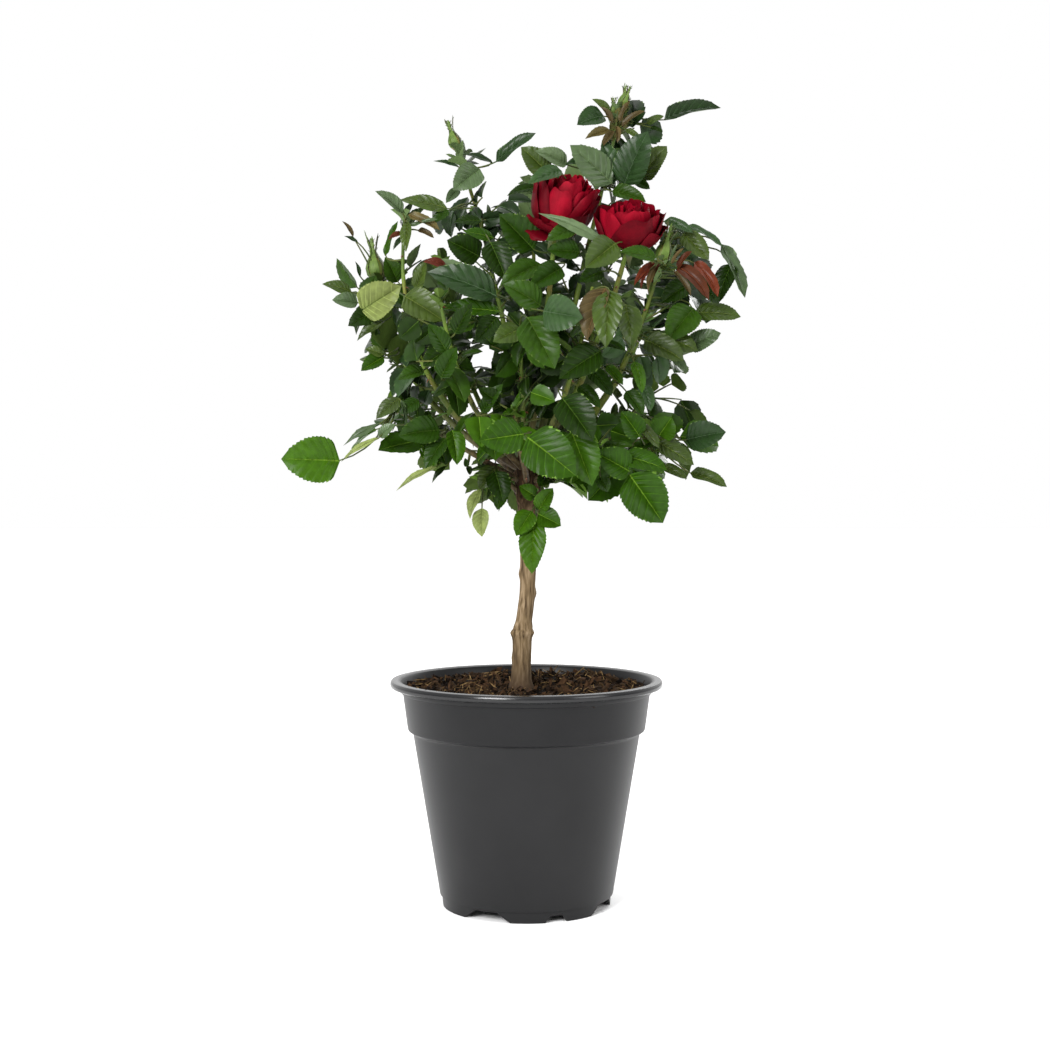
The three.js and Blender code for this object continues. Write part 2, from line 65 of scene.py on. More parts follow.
# %% Camera
IMAGE_PIXELS = 1050
FOCAL_PIXELS = 1776
PIXELS_OFF_CENTRE = 1.5
SENSOR_WIDTH = 36
CAMERA_PLACE, CAMERA_TILT = (0, -1.236, 0.308), 88
scene = bpy.context.scene
scene.view_settings.view_transform = "Standard"
camera_data = bpy.data.cameras.new("camera")
camera_data.sensor_width = SENSOR_WIDTH
camera_data.lens = SENSOR_WIDTH * FOCAL_PIXELS / IMAGE_PIXELS
camera_data.shift_x = -PIXELS_OFF_CENTRE / IMAGE_PIXELS
camera = bpy.data.objects.new("camera", camera_data)
camera.location = CAMERA_PLACE
camera.rotation_euler = (math.radians(CAMERA_TILT), 0, 0)
scene.collection.objects.link(camera)
scene.camera = camera
print("lens:", round(camera_data.lens, 1), "mm")


# %% Materials from nodes
def colour(code):
    """A colour written as on screens, turned into the linear light that shaders work in."""
    parts = [int(code[i:i + 2], 16) / 255 for i in (1, 3, 5)]
    return [*(p / 12.92 if p <= 0.04045 else ((p + 0.055) / 1.055) ** 2.4 for p in parts), 1]


def put(tree, kind, inputs=None, **settings):
    """Adds a node. Each input is linked, if it is given a socket, or set, if it is given a value."""
    made = tree.nodes.new("ShaderNode" + kind)
    for name, value in settings.items():
        setattr(made, name, value)
    for name, value in (inputs or {}).items():
        if isinstance(value, bpy.types.NodeSocket):
            tree.links.new(value, made.inputs[name])
        else:
            made.inputs[name].default_value = value
    return made


def ramp(tree, value, stops):
    """Turns a value into a colour by stops of (value, colour)."""
    made = put(tree, "ValToRGB", {"Fac": value})
    elements = made.color_ramp.elements
    while len(elements) < len(stops):
        elements.new(0.5)
    for element, (position, code) in zip(elements, stops):
        element.position = position
        element.color = colour(code)
    return made.outputs["Color"]


def new_finish(name, **sockets):
    """A new material, with its shader's constant sockets set, and its Object coordinates."""
    material = bpy.data.materials.new(name)
    material.use_nodes = True
    shader = material.node_tree.nodes["Principled BSDF"]
    for socket, value in sockets.items():
        shader.inputs[socket.replace("_", " ")].default_value = value
    place = put(material.node_tree, "TexCoord").outputs["Object"]
    return material, material.node_tree, shader, place


def clouds(tree, place, scale, detail):
    """Soft noise between 0 and 1."""
    return put(tree, "TexNoise", {"Vector": place, "Scale": scale, "Detail": detail}).outputs["Fac"]


def scaled(tree, place, scale):
    return put(tree, "Mapping", {"Vector": place, "Scale": scale}).outputs["Vector"]


def height_of(tree, place):
    return put(tree, "SeparateXYZ", {"Vector": place}).outputs["Z"]


def ranged(tree, value, low=0.0, high=1.0, to_low=0.0, to_high=1.0):
    """Carries a value from one range over to another."""
    ends = {"From Min": low, "From Max": high, "To Min": to_low, "To Max": to_high}
    return put(tree, "MapRange", {"Value": value, **ends}).outputs["Result"]


def blended(tree, share, first, second):
    """One colour where the share is 0, and another where it is 1."""
    return put(tree, "Mix", {"Factor": share, "A": first, "B": second}, data_type="RGBA").outputs["Result"]


def add_bump(tree, shader, height, strength, deep):
    """Lets a height show in the light as relief that is some millimetres deep."""
    made = put(tree, "Bump", {"Height": height, "Strength": strength, "Distance": deep * MM})
    tree.links.new(made.outputs["Normal"], shader.inputs["Normal"])


def drifting(name, codes, patch, bump, **sockets):
    """A finish whose colour drifts between two near shades in patches, with relief a few times finer."""
    material, tree, shader, place = new_finish(name, **sockets)
    drift = clouds(tree, place, 1 / (patch * MM), 4.0)
    tone = ramp(tree, drift, [(0.36, codes[0]), (0.64, codes[1])])
    tree.links.new(tone, shader.inputs["Base Color"])
    add_bump(tree, shader, clouds(tree, place, 5 / (patch * MM), 3.0), bump, 0.4)
    return material


print("middle grey in linear light:", round(colour("#808080")[0], 3))


# %% Floor, world and lamps
def select_nothing():
    bpy.ops.object.select_all(action="DESELECT")


select_nothing()
bpy.ops.mesh.primitive_plane_add(size=14)
floor = bpy.context.object
floor.name = "floor"
floor.data.materials.append(drifting("pale_floor", ("#fefefe", "#ffffff"), 900, 0.0, Roughness=0.9))

WHITE = (1, 1, 1, 1)
world = bpy.data.worlds.new("light_tent")
world.use_nodes = True
tree = world.node_tree
tent = tree.nodes["Background"]
tent.inputs["Color"].default_value = WHITE
direction = put(tree, "SeparateXYZ", {"Vector": put(tree, "TexCoord").outputs["Generated"]})
overhead = ranged(tree, direction.outputs["Z"], to_low=0.22, to_high=1.3)
behind = ranged(tree, direction.outputs["Y"], high=0.7, to_high=0.7)
brightness = put(tree, "Math", {0: overhead, 1: behind}, operation="ADD")
tree.links.new(brightness.outputs["Value"], tent.inputs["Strength"])
backdrop = put(tree, "Background", {"Color": WHITE, "Strength": 1.0})
seen = put(tree, "LightPath").outputs["Is Camera Ray"]
both = put(tree, "MixShader", {0: seen, 1: tent.outputs["Background"], 2: backdrop.outputs["Background"]})
tree.links.new(both.outputs["Shader"], tree.nodes["World Output"].inputs["Surface"])
scene.world = world


def soft_lamp(name, place, aim, size, watts):
    """A square lamp that shines from one place towards another."""
    bpy.ops.object.light_add(type="AREA", location=place)
    lamp = bpy.context.object
    lamp.name = name
    lamp.data.size = size
    lamp.data.energy = watts
    lamp.rotation_euler = (Vector(aim) - Vector(place)).to_track_quat("-Z", "Y").to_euler()


soft_lamp("lamp_upper_left", (-0.85, -1.6, 1.05), (0, 0, 0.36), 0.8, 52)
soft_lamp("lamp_behind", (0.8, 1.7, 1.2), (0, 0, 0.35), 0.8, 14)
soft_lamp("lamp_right", (1.3, -0.9, 0.8), (0, 0, 0.35), 0.8, 9)

# %% [markdown]
# ## The pot
# A thin-walled nursery pot is moulded from dark grey plastic: an out-turned lip with a small bead under it,
# a straight collar that lets pots stack, a crisp step, a cone, and a foot ring with gaps for draining. A
# lathe shape like this is drawn as half a section, one point after another, and spun round the axis. Making
# the wall a solid and not a sheet gives the lip its real thickness, which is what catches the light.

# %% Draw the section and spin it
POT_SECTION = [
    (0, 8), (56.6, 8), (56.6, 0), (58.6, 0), (59.2, 7.6), (60.6, 8), (79, 119.4), (79.3, 120.6),
    (80.1, 121.5), (81.9, 122.3), (82.6, 122.9), (82.9, 123.9), (86, 147.2), (86.5, 148.4), (87.7, 148.9),
    (88.1, 149.5), (88.2, 151.4), (89, 152.1), (93.6, 152.4), (94.6, 153), (95, 154.4), (94.8, 156),
    (94, 157.1), (92.8, 157.4), (88.8, 157.2), (87.4, 156.6), (86.4, 155), (84.5, 147.4), (81.1, 125.4),
    (77.4, 119), (59, 9.6), (0, 9.6),
]
POT_SIDES = 128


def start_shaping(name):
    """Names the primitive that was just added, and opens it in edit mode."""
    piece = bpy.context.object
    piece.name = piece.data.name = name
    bpy.ops.object.mode_set(mode="EDIT")
    return piece


def end_shaping():
    """Turns all faces outwards and leaves edit mode."""
    bpy.ops.mesh.select_all(action="SELECT")
    bpy.ops.mesh.normals_make_consistent(inside=False)
    bpy.ops.object.mode_set(mode="OBJECT")


def spun(name, section, sides):
    """Draws a section point by point, from a vertex on the axis, and spins it into a closed solid."""
    select_nothing()
    bpy.ops.mesh.primitive_plane_add(size=MM)
    piece = start_shaping(name)
    bpy.ops.mesh.select_mode(type="VERT")
    bpy.ops.mesh.merge(type="CENTER")
    bpy.ops.transform.translate(value=(section[0][0] * MM, 0, section[0][1] * MM))
    for (radius, height), (next_radius, next_height) in zip(section, section[1:]):
        step = ((next_radius - radius) * MM, 0, (next_height - height) * MM)
        bpy.ops.mesh.extrude_vertices_move(TRANSFORM_OT_translate={"value": step})
    bpy.ops.mesh.select_all(action="SELECT")
    bpy.ops.mesh.spin(steps=sides, angle=math.tau, center=(0, 0, 0), axis=(0, 0, 1))
    bpy.ops.mesh.select_all(action="SELECT")
    bpy.ops.mesh.remove_doubles(threshold=0.01 * MM)
    end_shaping()
    return piece


pot = spun("pot_moulded", POT_SECTION, POT_SIDES)
print("pot:", len(pot.data.polygons), "faces")

# %% [markdown]
# The gaps in the foot ring widen towards the ground, a wide low arch and a narrow one by turns. One block is
# modelled as a cutter: a cube whose upper face is drawn in. It is made again for each place on the ring, and
# a Boolean takes all the blocks away from the pot in one go.

# %% Cut the gaps in the foot ring
WIDE_GAP, NARROW_GAP = (35, 17, 6.6), (15.5, 8, 4.8)
GAP_ANGLES = {-28: WIDE_GAP, 20: NARROW_GAP, 66: WIDE_GAP, 108: NARROW_GAP,
              152: WIDE_GAP, 200: NARROW_GAP, 242: WIDE_GAP, 272: NARROW_GAP}
FOOT_MIDDLE, GAP_DEPTH, GAP_DROP = 58, 24, 3.0


def gap_cutter(angle, foot, top, height):
    """One block, wide at the ground and narrow above, turned to its place on the ring."""
    select_nothing()
    bpy.ops.mesh.primitive_cube_add(size=1, location=(0, 0, 0))
    block = bpy.context.object
    bpy.ops.object.mode_set(mode="EDIT")
    low = top + (foot - top) * (height + GAP_DROP) / height
    size = (low * MM, GAP_DEPTH * MM, (height + GAP_DROP) * MM)
    bpy.ops.transform.resize(value=size, center_override=(0, 0, 0))
    bpy.ops.transform.translate(value=(0, -FOOT_MIDDLE * MM, (height - GAP_DROP) / 2 * MM))
    mesh = bmesh.from_edit_mesh(block.data)
    for face in mesh.faces:
        face.select = face.normal.z > 0.9
    mesh.select_flush(False)
    bmesh.update_edit_mesh(block.data)
    above = (0, -FOOT_MIDDLE * MM, height * MM)
    bpy.ops.transform.resize(value=(top / low, 1, 1), center_override=above)
    bpy.ops.mesh.select_all(action="SELECT")
    bpy.ops.transform.rotate(value=math.radians(-angle), orient_axis="Z", center_override=(0, 0, 0))
    bpy.ops.object.mode_set(mode="OBJECT")
    return block


cutters = [gap_cutter(angle, *gap) for angle, gap in GAP_ANGLES.items()]
select_nothing()
for cutter in cutters:
    cutter.select_set(True)
bpy.context.view_layer.objects.active = cutters[0]
bpy.ops.object.join()
cutters = bpy.context.object


def select_only(piece):
    select_nothing()
    piece.select_set(True)
    bpy.context.view_layer.objects.active = piece


def smooth_shade(piece, degrees):
    """Smooth light over edges that are flatter than an angle."""
    select_only(piece)
    bpy.ops.object.shade_smooth_by_angle(angle=math.radians(degrees))


def apply_modifier(piece, kind, **settings):
    """Adds a modifier with its settings and applies it at once."""
    select_only(piece)
    modifier = piece.modifiers.new(kind.lower(), kind)
    for name, value in settings.items():
        setattr(modifier, name, value)
    bpy.ops.object.modifier_apply(modifier=modifier.name)


apply_modifier(pot, "BOOLEAN", operation="DIFFERENCE", solver="EXACT", object=cutters)
bpy.data.objects.remove(cutters)
smooth_shade(pot, 32)
low_foot = min(v.co.z for v in pot.data.vertices)
print("pot stands at", round(low_foot / MM, 3), "mm, faces:", len(pot.data.polygons))

# %% [markdown]
# The plastic is satin, with a fine moulded grain. Its grey is not quite even: regrind in the mix leaves
# faint clouds, and the roughness follows them. The collar is a little duller than the cone. The lip is the
# widest part, so the distance from the axis picks it out, and it is shinier from being handled.

# %% Pot plastic
LIP_RADII, COLLAR_HEIGHTS = (0.0875, 0.09), (0.1215, 0.1235)
pot_plastic, tree, shader, place = new_finish("pot_plastic")
mottle = clouds(tree, place, 22.0, 5.0)
tree.links.new(ramp(tree, mottle, [(0.3, "#151516"), (0.7, "#1a1a1b")]), shader.inputs["Base Color"])
satin = ranged(tree, mottle, to_low=0.36, to_high=0.44)
radius = put(tree, "VectorMath", {0: scaled(tree, place, (1.0, 1.0, 0.0))}, operation="LENGTH")
handled = ranged(tree, radius.outputs["Value"], *LIP_RADII, to_high=0.2)
rough = put(tree, "Math", {0: satin, 1: handled}, operation="SUBTRACT")
tree.links.new(rough.outputs["Value"], shader.inputs["Roughness"])
collar = ranged(tree, height_of(tree, place), *COLLAR_HEIGHTS)
duller = ranged(tree, collar, to_low=0.22, to_high=0.16)
shine = put(tree, "Math", {0: duller, 1: handled}, operation="ADD")
tree.links.new(shine.outputs["Value"], shader.inputs["Specular IOR Level"])
add_bump(tree, shader, clouds(tree, place, 1500.0, 2.0), 0.12, 0.2)


def finished(piece, slot, replaced, *finishes):
    """Gives a piece its finishes and its body, and hides the solids that it stands for. slot is not used."""
    for finish in finishes:
        piece.data.materials.append(finish)
    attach(piece, "root")
    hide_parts(*replaced)


finished(pot, "pot", ["pot"], pot_plastic)
print("pot finished")

# %% [markdown]
# ## The soil
# Potting soil is dark peat with chips of bark and pale fibres. The ground itself is one disc: a ring at the
# wall, extruded inwards ring by ring, then lifted into lumps by noise. The chips are hundreds of slivers, so
# they are not modelled one by one: their corners are worked out in arrays and become one mesh.

# %% The ground
DULL = {"Roughness": 0.95, "Specular_IOR_Level": 0.08}
SOIL_EDGE, SOIL_RIM_HEIGHT, SOIL_HEIGHT = 84.4, 151.4, 149.8
SOIL_SKIRT = [(81.4, 128.0), (83.4, 144.6)]
SOIL_RINGS, SOIL_SIDES = 30, 128
SOIL_LUMPS = [(3.4, 15, 3), (2.2, 6, 8), (1.3, 2.6, 5)]  # height, breadth and seed of lumps and crumbs
STEM_CLEAR, STEM_FADE, WALL_FADE = 11, 10, 4


def soil_height(x, y):
    """The height of the ground at a place, in millimetres: heaped towards the wall, with lumps."""
    radius = math.hypot(x, y)
    share = min(1, radius / SOIL_EDGE)
    level = SOIL_HEIGHT + (SOIL_RIM_HEIGHT - SOIL_HEIGHT) * share ** 3
    lumps = sum(rise * noise.noise((x / broad, y / broad, seed)) for rise, broad, seed in SOIL_LUMPS)
    off_stem = min(1, max(0, (radius - STEM_CLEAR) / STEM_FADE))
    off_wall = min(1, max(0, (SOIL_EDGE - radius) / WALL_FADE))
    return level + lumps * off_stem * (0.5 + 0.5 * off_wall)


select_nothing()
bpy.ops.mesh.primitive_circle_add(vertices=SOIL_SIDES, radius=SOIL_SKIRT[0][0] * MM)
soil = start_shaping("soil_ground")
radius, height = SOIL_SKIRT[0]
bpy.ops.transform.translate(value=(0, 0, height * MM))
rings = [SOIL_SKIRT[1]] + [(SOIL_EDGE * (1 - i / SOIL_RINGS), SOIL_RIM_HEIGHT) for i in range(SOIL_RINGS)]
for next_radius, next_height in rings:
    bpy.ops.mesh.extrude_edges_move(TRANSFORM_OT_translate={"value": (0, 0, (next_height - height) * MM)})
    share = next_radius / radius
    bpy.ops.transform.resize(value=(share, share, 1), center_override=(0, 0, next_height * MM))
    radius, height = next_radius, next_height
bpy.ops.mesh.merge(type="CENTER")
mesh = bmesh.from_edit_mesh(soil.data)
for corner in mesh.verts:
    if corner.co.z > (SOIL_SKIRT[1][1] + 0.5) * MM:
        corner.co.z = soil_height(corner.co.x / MM, corner.co.y / MM) * MM
for edge in mesh.edges:
    edge.select = edge.is_boundary
bmesh.update_edit_mesh(soil.data)
bpy.ops.mesh.edge_face_add()
end_shaping()
smooth_shade(soil, 60)
finished(soil, "soil", ["soil"], drifting("peat", ("#080604", "#18110a"), 7, 0.9, **DULL))
print("ground:", len(soil.data.polygons), "faces")


# %% A heap for many small things
class Heap:
    """Gathers the corners and faces of many small closed things, and makes them one mesh."""

    def __init__(self):
        self.corners = []
        self.faces = []
        self.slots = []
        self.count = 0

    def add(self, corners, faces, slots):
        self.corners.append(np.asarray(corners, float))
        self.faces.extend([[i + self.count for i in face] for face in faces])
        self.slots.extend(slots if len(slots) == len(faces) else slots * len(faces))
        self.count += len(corners)

    def make(self, name, smooth):
        mesh = bpy.data.meshes.new(name)
        mesh.from_pydata((np.concatenate(self.corners) * MM).tolist(), [], self.faces)
        mesh.polygons.foreach_set("material_index", self.slots)
        piece = bpy.data.objects.new(name, mesh)
        scene.collection.objects.link(piece)
        smooth_shade(piece, smooth)
        triangles = sum(len(face) - 2 for face in self.faces)
        print(name, "-", len(self.corners), "things,", triangles, "triangles")
        return piece


BLOCK_CORNERS = [(x, y, z) for z in (-1, 1) for x, y in ((-1, -1), (1, -1), (1, 1), (-1, 1))]
BLOCK_FACES = [(0, 3, 2, 1), (4, 5, 6, 7), (0, 1, 5, 4), (1, 2, 6, 5), (2, 3, 7, 6), (3, 0, 4, 7)]


def turned(points, tilt, lean, bearing):
    """Points rolled about x, pitched about y and swung about z."""
    c, s = np.cos([tilt, lean, bearing]), np.sin([tilt, lean, bearing])
    roll = np.array([[1, 0, 0], [0, c[0], -s[0]], [0, s[0], c[0]]])
    pitch = np.array([[c[1], 0, s[1]], [0, 1, 0], [-s[1], 0, c[1]]])
    swing = np.array([[c[2], -s[2], 0], [s[2], c[2], 0], [0, 0, 1]])
    return np.asarray(points) @ (swing @ pitch @ roll).T


def sliver(dice, length, width, depth):
    """A split chip: a block with frayed, uneven ends."""
    size = np.array([length, width, depth]) / 2
    return np.array(BLOCK_CORNERS) * size * dice.uniform(0.45, 1.1, (8, 3))


print("faces on a chip:", len(BLOCK_FACES))


# %% Chips and fibres
CHIP_KINDS = [  # share of all, steepness, then the ranges of length, width and depth
    (0.44, 0.6, (2.5, 7.5), (1.4, 4.0), (1.0, 2.8)),
    (0.28, 0.6, (5.0, 13.0), (1.6, 4.4), (0.9, 2.2)),
    (0.28, 0.34, (8.0, 21.0), (0.4, 1.1), (0.35, 0.8)),
]
CHIP_FINISHES = [  # two for each kind: the two shades, the size of a patch and the relief
    ("chip_peat", ("#0a0604", "#150e08"), 2, 0.7),
    ("chip_dark_bark", ("#130c07", "#20160e"), 2, 0.7),
    ("chip_bark", ("#221810", "#362819"), 3, 0.6),
    ("chip_red_bark", ("#2c1e13", "#412e1e"), 3, 0.6),
    ("fibre_brown", ("#251b11", "#3c2d1c"), 3, 0.5),
    ("fibre_straw", ("#544126", "#766040"), 3, 0.5),
]
CHIPS, CHIP_MARGIN, CHIP_SEED = 2000, 3, 7
dice = np.random.default_rng(CHIP_SEED)
chips = Heap()
for kind, (share, steep, *ranges) in enumerate(CHIP_KINDS):
    for _ in range(int(CHIPS * share)):
        reach = (SOIL_EDGE - CHIP_MARGIN) * math.sqrt(dice.uniform(0.03, 1))
        bearing = dice.uniform(0, math.tau)
        x, y = reach * math.cos(bearing), reach * math.sin(bearing)
        chip = sliver(dice, *(dice.uniform(*span) for span in ranges))
        chip = turned(chip, dice.uniform(0, math.tau), dice.normal(0, steep), dice.uniform(0, math.tau))
        lift = soil_height(x, y) + dice.uniform(-0.5, 1.6)
        chips.add(chip + (x, y, lift), BLOCK_FACES, [kind * 2 + int(dice.integers(2))])
soil_chips = chips.make("soil_chips", 40)
finished(soil_chips, "soil", [], *(drifting(*row, **DULL) for row in CHIP_FINISHES))

# %% [markdown]
# ## The rule of growth
# The solids of the crown were grown by a rule: canes leave the head of the stem on curved lines, and each
# carries compound leaves that keep to their own space. The same rule is written again here with the same
# stream of numbers, so every leaf of the scene grows where the solid one is. First come the curves. A curve
# is measured along its length, so that a share of 0.5 is really half way.

# %% Curves measured by length
CURVE_STEPS = 200


class Path:
    """A curve given by a function of 0 to 1, read by shares of its length."""

    def __init__(self, point):
        self.point = point
        self.shares = np.linspace(0, 1, CURVE_STEPS + 1)
        points = np.array([point(t) for t in self.shares])
        self.lengths = np.concatenate([[0], np.cumsum(np.linalg.norm(np.diff(points, axis=0), axis=1))])
        self.length = self.lengths[-1]

    def at(self, share):
        return self.point(np.interp(share * self.length, self.lengths, self.shares))

    def along(self, share):
        t = np.interp(share * self.length, self.lengths, self.shares)
        way = self.point(min(1, t + 1e-4)) - self.point(max(0, t - 1e-4))
        return way / np.linalg.norm(way)


def mix(low, high, share):
    return low + (high - low) * share


def unit(vector):
    return vector / np.linalg.norm(vector)


def through(points):
    """A smooth curve through points, which stays close to the straight line between near ones."""
    points = [np.array(p, float) for p in points]
    points = [2 * points[0] - points[1], *points, 2 * points[-1] - points[-2]]

    def point(t):
        place = t * (len(points) - 3)
        i = min(int(place), len(points) - 4)
        share = place - i
        p0, p1, p2, p3 = points[i:i + 4]
        d0, d1, d2 = [np.linalg.norm(b - a) ** 0.5 for a, b in ((p0, p1), (p1, p2), (p2, p3))]
        leave = ((p1 - p0) / d0 - (p2 - p0) / (d0 + d1) + (p2 - p1) / d1) * d1
        arrive = ((p2 - p1) / d1 - (p3 - p1) / (d1 + d2) + (p3 - p2) / d2) * d1
        square, cube = share ** 2, share ** 3
        return (p1 + leave * share + (3 * (p2 - p1) - 2 * leave - arrive) * square
                + (2 * (p1 - p2) + leave + arrive) * cube)

    return Path(point)


def bent(root, bend, tip):
    return Path(lambda t: (1 - t) ** 2 * root + 2 * t * (1 - t) * bend + t ** 2 * tip)


STEM_LINE = through([(-3.8, 0, 149.8), (-2.6, 0.5, 190), (0.8, 1, 222), (0.8, 0, 296), (0.8, 0, 318)])
STEM_GIRTHS = np.array([
    (149.8, 9.6), (156.8, 7.2), (167.8, 6.6), (190, 6.9), (198, 5.7), (222, 5.3), (270, 6.2),
    (288, 8.7), (310, 8.3), (318, 6),
])


def stem_radius(height):
    return np.interp(height, STEM_GIRTHS[:, 0], STEM_GIRTHS[:, 1])


print("stem length:", round(STEM_LINE.length, 1), "mm")

# %% [markdown]
# Each cane is a row in a list: where its tip is, at which tier and bearing it leaves the head, how far its
# bend lies out and up, the share of it that is bare, how many leaves it carries and of what size, and how it
# ends. The last word is the shade of its leaves: the low front ones are fresh green, the high ones dusky.

# %% The canes
TIERS = [286, 294.5, 303.5, 312]
ROOT_OFFSET, HEAD_MIDDLE = 4.4, 0.8
CANE_GIRTH, FLOWER_TIP_GIRTH, SHOOT_TIP_GIRTH = 2.2, 1.5, 1.0
SHOOTS = [
    ("left_tall", (-48, 5, 526), 3, 180, 0.25, 0.55, 0.4, 7, 25, "bud", "dusky"),
    ("left", (-82, -30, 474), 2, 200, 1.15, 0.3, 0.4, 7, 31, "leaf", "dusky"),
    ("left_bud", (-105, 22, 437), 2, 163, 0.85, 0.3, 0.4, 7, 31, "bud", "deep"),
    ("left_low", (-90, -48, 345), 1, 213, 0.5, 0.5, 0, 7, 36, "leaf", "fresh"),
    ("left_hanging", (-30, -14, 296), 0, 205, 0.6, 1.6, 0, 1, 24, "leaf", "fresh"),
    ("front_left", (-56, -85, 414), 2, 236, 0.8, 0.35, 0.5, 7, 34, "leaf", "deep"),
    ("front_mid", (-4, -64, 394), 2, 262, 0.55, 0.45, 0.35, 6, 33, "leaf", "deep"),
    ("front", (42, -100, 420), 2, 289, 0.7, 0.4, 0.5, 7, 35, "leaf", "deep"),
    ("front_right", (89, -55, 441), 2, 328, 0.65, 0.2, 0.5, 7, 31, "bud", "dusky"),
    ("front_low", (-8, -82, 342), 1, 268, 0.5, 0.4, 0, 5, 38, "leaf", "fresh"),
    ("front_right_low", (56, -62, 316), 1, 311, 0.5, 1, 0, 6, 40, "leaf", "fresh"),
    ("sprig", (9, -16, 284), 0, 298, 0.7, 0.2, 0, 0, 32, "leaf", "fresh"),
    ("right_low", (86, -24, 326), 1, 344, 0.5, 0.7, 0, 6, 34, "leaf", "fresh"),
    ("right_mid", (100, 50, 385), 1, 22, 0.8, 0.35, 0.4, 7, 34, "leaf", "deep"),
    ("right", (102, 14, 468), 2, 8, 0.75, 0.3, 0.45, 7, 33, "leaf", "dusky"),
    ("top_right", (66, 5, 555), 3, 5, 0.45, 0.4, 0.4, 6, 30, "bud", "dusky"),
    ("back_high", (6, 48, 508), 3, 95, 0.6, 0.4, 0.4, 6, 32, "leaf", "dusky"),
    ("back_right", (60, 86, 466), 2, 54, 0.8, 0.35, 0.4, 6, 33, "bud", "dusky"),
    ("back", (0, 104, 438), 2, 92, 0.8, 0.35, 0.4, 5, 34, "leaf", "deep"),
    ("back_left", (-62, 80, 455), 2, 128, 0.8, 0.35, 0.4, 6, 33, "leaf", "deep"),
    ("back_low_left", (-62, 76, 350), 1, 128, 0.5, 0.5, 0, 6, 37, "leaf", "deep"),
    ("back_low", (2, 92, 342), 1, 90, 0.5, 0.5, 0, 6, 37, "leaf", "deep"),
    ("back_low_right", (64, 74, 342), 1, 50, 0.5, 0.5, 0, 6, 37, "leaf", "deep"),
    ("bloom_left", (18.9, -41.7, 463.6), 3, 255, 0.6, 0.3, 0.86, 0, 0, "bloom", "deep"),
    ("bloom_right", (67.2, -54, 451.5), 3, 312, 0.6, 0.3, 0.86, 0, 0, "bloom", "deep"),
]
REACHES = {  # leaves that end at a set place: share of the shoot, then the place of the leaf's tip
    "left_tall": [(0.86, 6, -22, 530)],
    "left": [(0.85, -100, -45, 494)],
    "left_bud": [(0.8, -140, 10, 432)],
    "left_low": [(0.92, -157, -90, 309), (0.55, -98, -66, 318)],
    "left_hanging": [(0.8, -33, -26, 262)],
    "front_low": [(0.7, -38, -104, 308), (0.8, 28, -112, 296), (1, -6, -140, 326)],
    "front_right_low": [(0.9, 89, -78, 268)],
    "sprig": [(0.9, 4, -30, 233)],
    "right_low": [(0.9, 137, -20, 323), (0.8, 137, -30, 292)],
    "right": [(0.9, 154, 16, 424)],
    "top_right": [(0.86, 135, 20, 561), (0.52, 36, -18, 524), (0.48, 98, -20, 536)],
    "back": [(0.8, 2, 140, 446)],
}
BLOOM_FACES = {"bloom_left": (0.3, -0.35, 0.88), "bloom_right": (0, -0.45, 0.89)}
BLOOM_RADIUS, BLOOM_HEIGHT = 22.5, 36
JOINT_GAP = 0.3
FIELDS = ["name", "tip", "tier", "bearing", "spread", "rise", "bare", "leaves", "size", "end", "shade"]


def grown_cane(row, index):
    """A cane with its centre line, and the points of it that its leaves must stay nearest to."""
    cane = SimpleNamespace(**dict(zip(FIELDS, row)))
    bearing = math.radians(cane.bearing)
    out = np.array([math.cos(bearing), math.sin(bearing)]) * ROOT_OFFSET
    root = np.array([HEAD_MIDDLE + out[0], out[1], TIERS[cane.tier]])
    tip = np.array(cane.tip, float)
    cane.tip = tip
    bend = mix(root, tip, np.array([cane.spread, cane.spread, cane.rise]))
    cane.path = bent(root, bend, tip)
    cane.index = index
    end_girth = FLOWER_TIP_GIRTH if cane.end == "bloom" else SHOOT_TIP_GIRTH
    cane.girth = lambda share: mix(CANE_GIRTH, end_girth, share)
    cane.leafy = cane.bare + JOINT_GAP / cane.path.length if cane.bare else 0
    cane.keep = [(*cane.path.at(mix(cane.leafy, 1, i / 10)), 0) for i in range(11)]
    if cane.end == "bloom":
        middle = tip + unit(np.array(BLOOM_FACES[cane.name])) * BLOOM_HEIGHT * 0.5
        cane.keep.append((*middle, BLOOM_RADIUS + 1))
    return cane


canes = [grown_cane(row, index) for index, row in enumerate(SHOOTS)]
print("canes:", len(canes), "longest:", round(max(cane.path.length for cane in canes)), "mm")

# %% [markdown]
# A leaf may grow only where there is room: inside the crown, nearer to its own shoot than to any other, not
# far over the shoot's tip, clear of bare limbs and not crowding a leaf that is there already. The tests work
# on whole arrays of points at once, which keeps thousands of trials down to a few seconds.

# %% Room for leaves
CROWN_LOW, CROWN_HIGH = np.array([-158, -141, 222]), np.array([155, 141, 571])
keep_points = np.array([point for cane in canes for point in cane.keep])
keep_owner = np.array([cane.index for cane in canes for _ in cane.keep])
LIMB_STEPS = 14
limb_starts, limb_ends, limb_radii = [], [], []


def add_limb(path, radius_at, end):
    for step in range(LIMB_STEPS):
        limb_starts.append(path.at(end * step / LIMB_STEPS))
        limb_ends.append(path.at(end * (step + 1) / LIMB_STEPS))
        limb_radii.append(radius_at(end * step / LIMB_STEPS))


add_limb(STEM_LINE, lambda share: stem_radius(STEM_LINE.at(share)[2]), 1)
for cane in canes:
    if cane.bare:
        add_limb(cane.path, cane.girth, cane.bare)
limb_starts, limb_ends, limb_radii = np.array(limb_starts), np.array(limb_ends), np.array(limb_radii)
limb_ways = limb_ends - limb_starts
limb_squares = (limb_ways ** 2).sum(1)


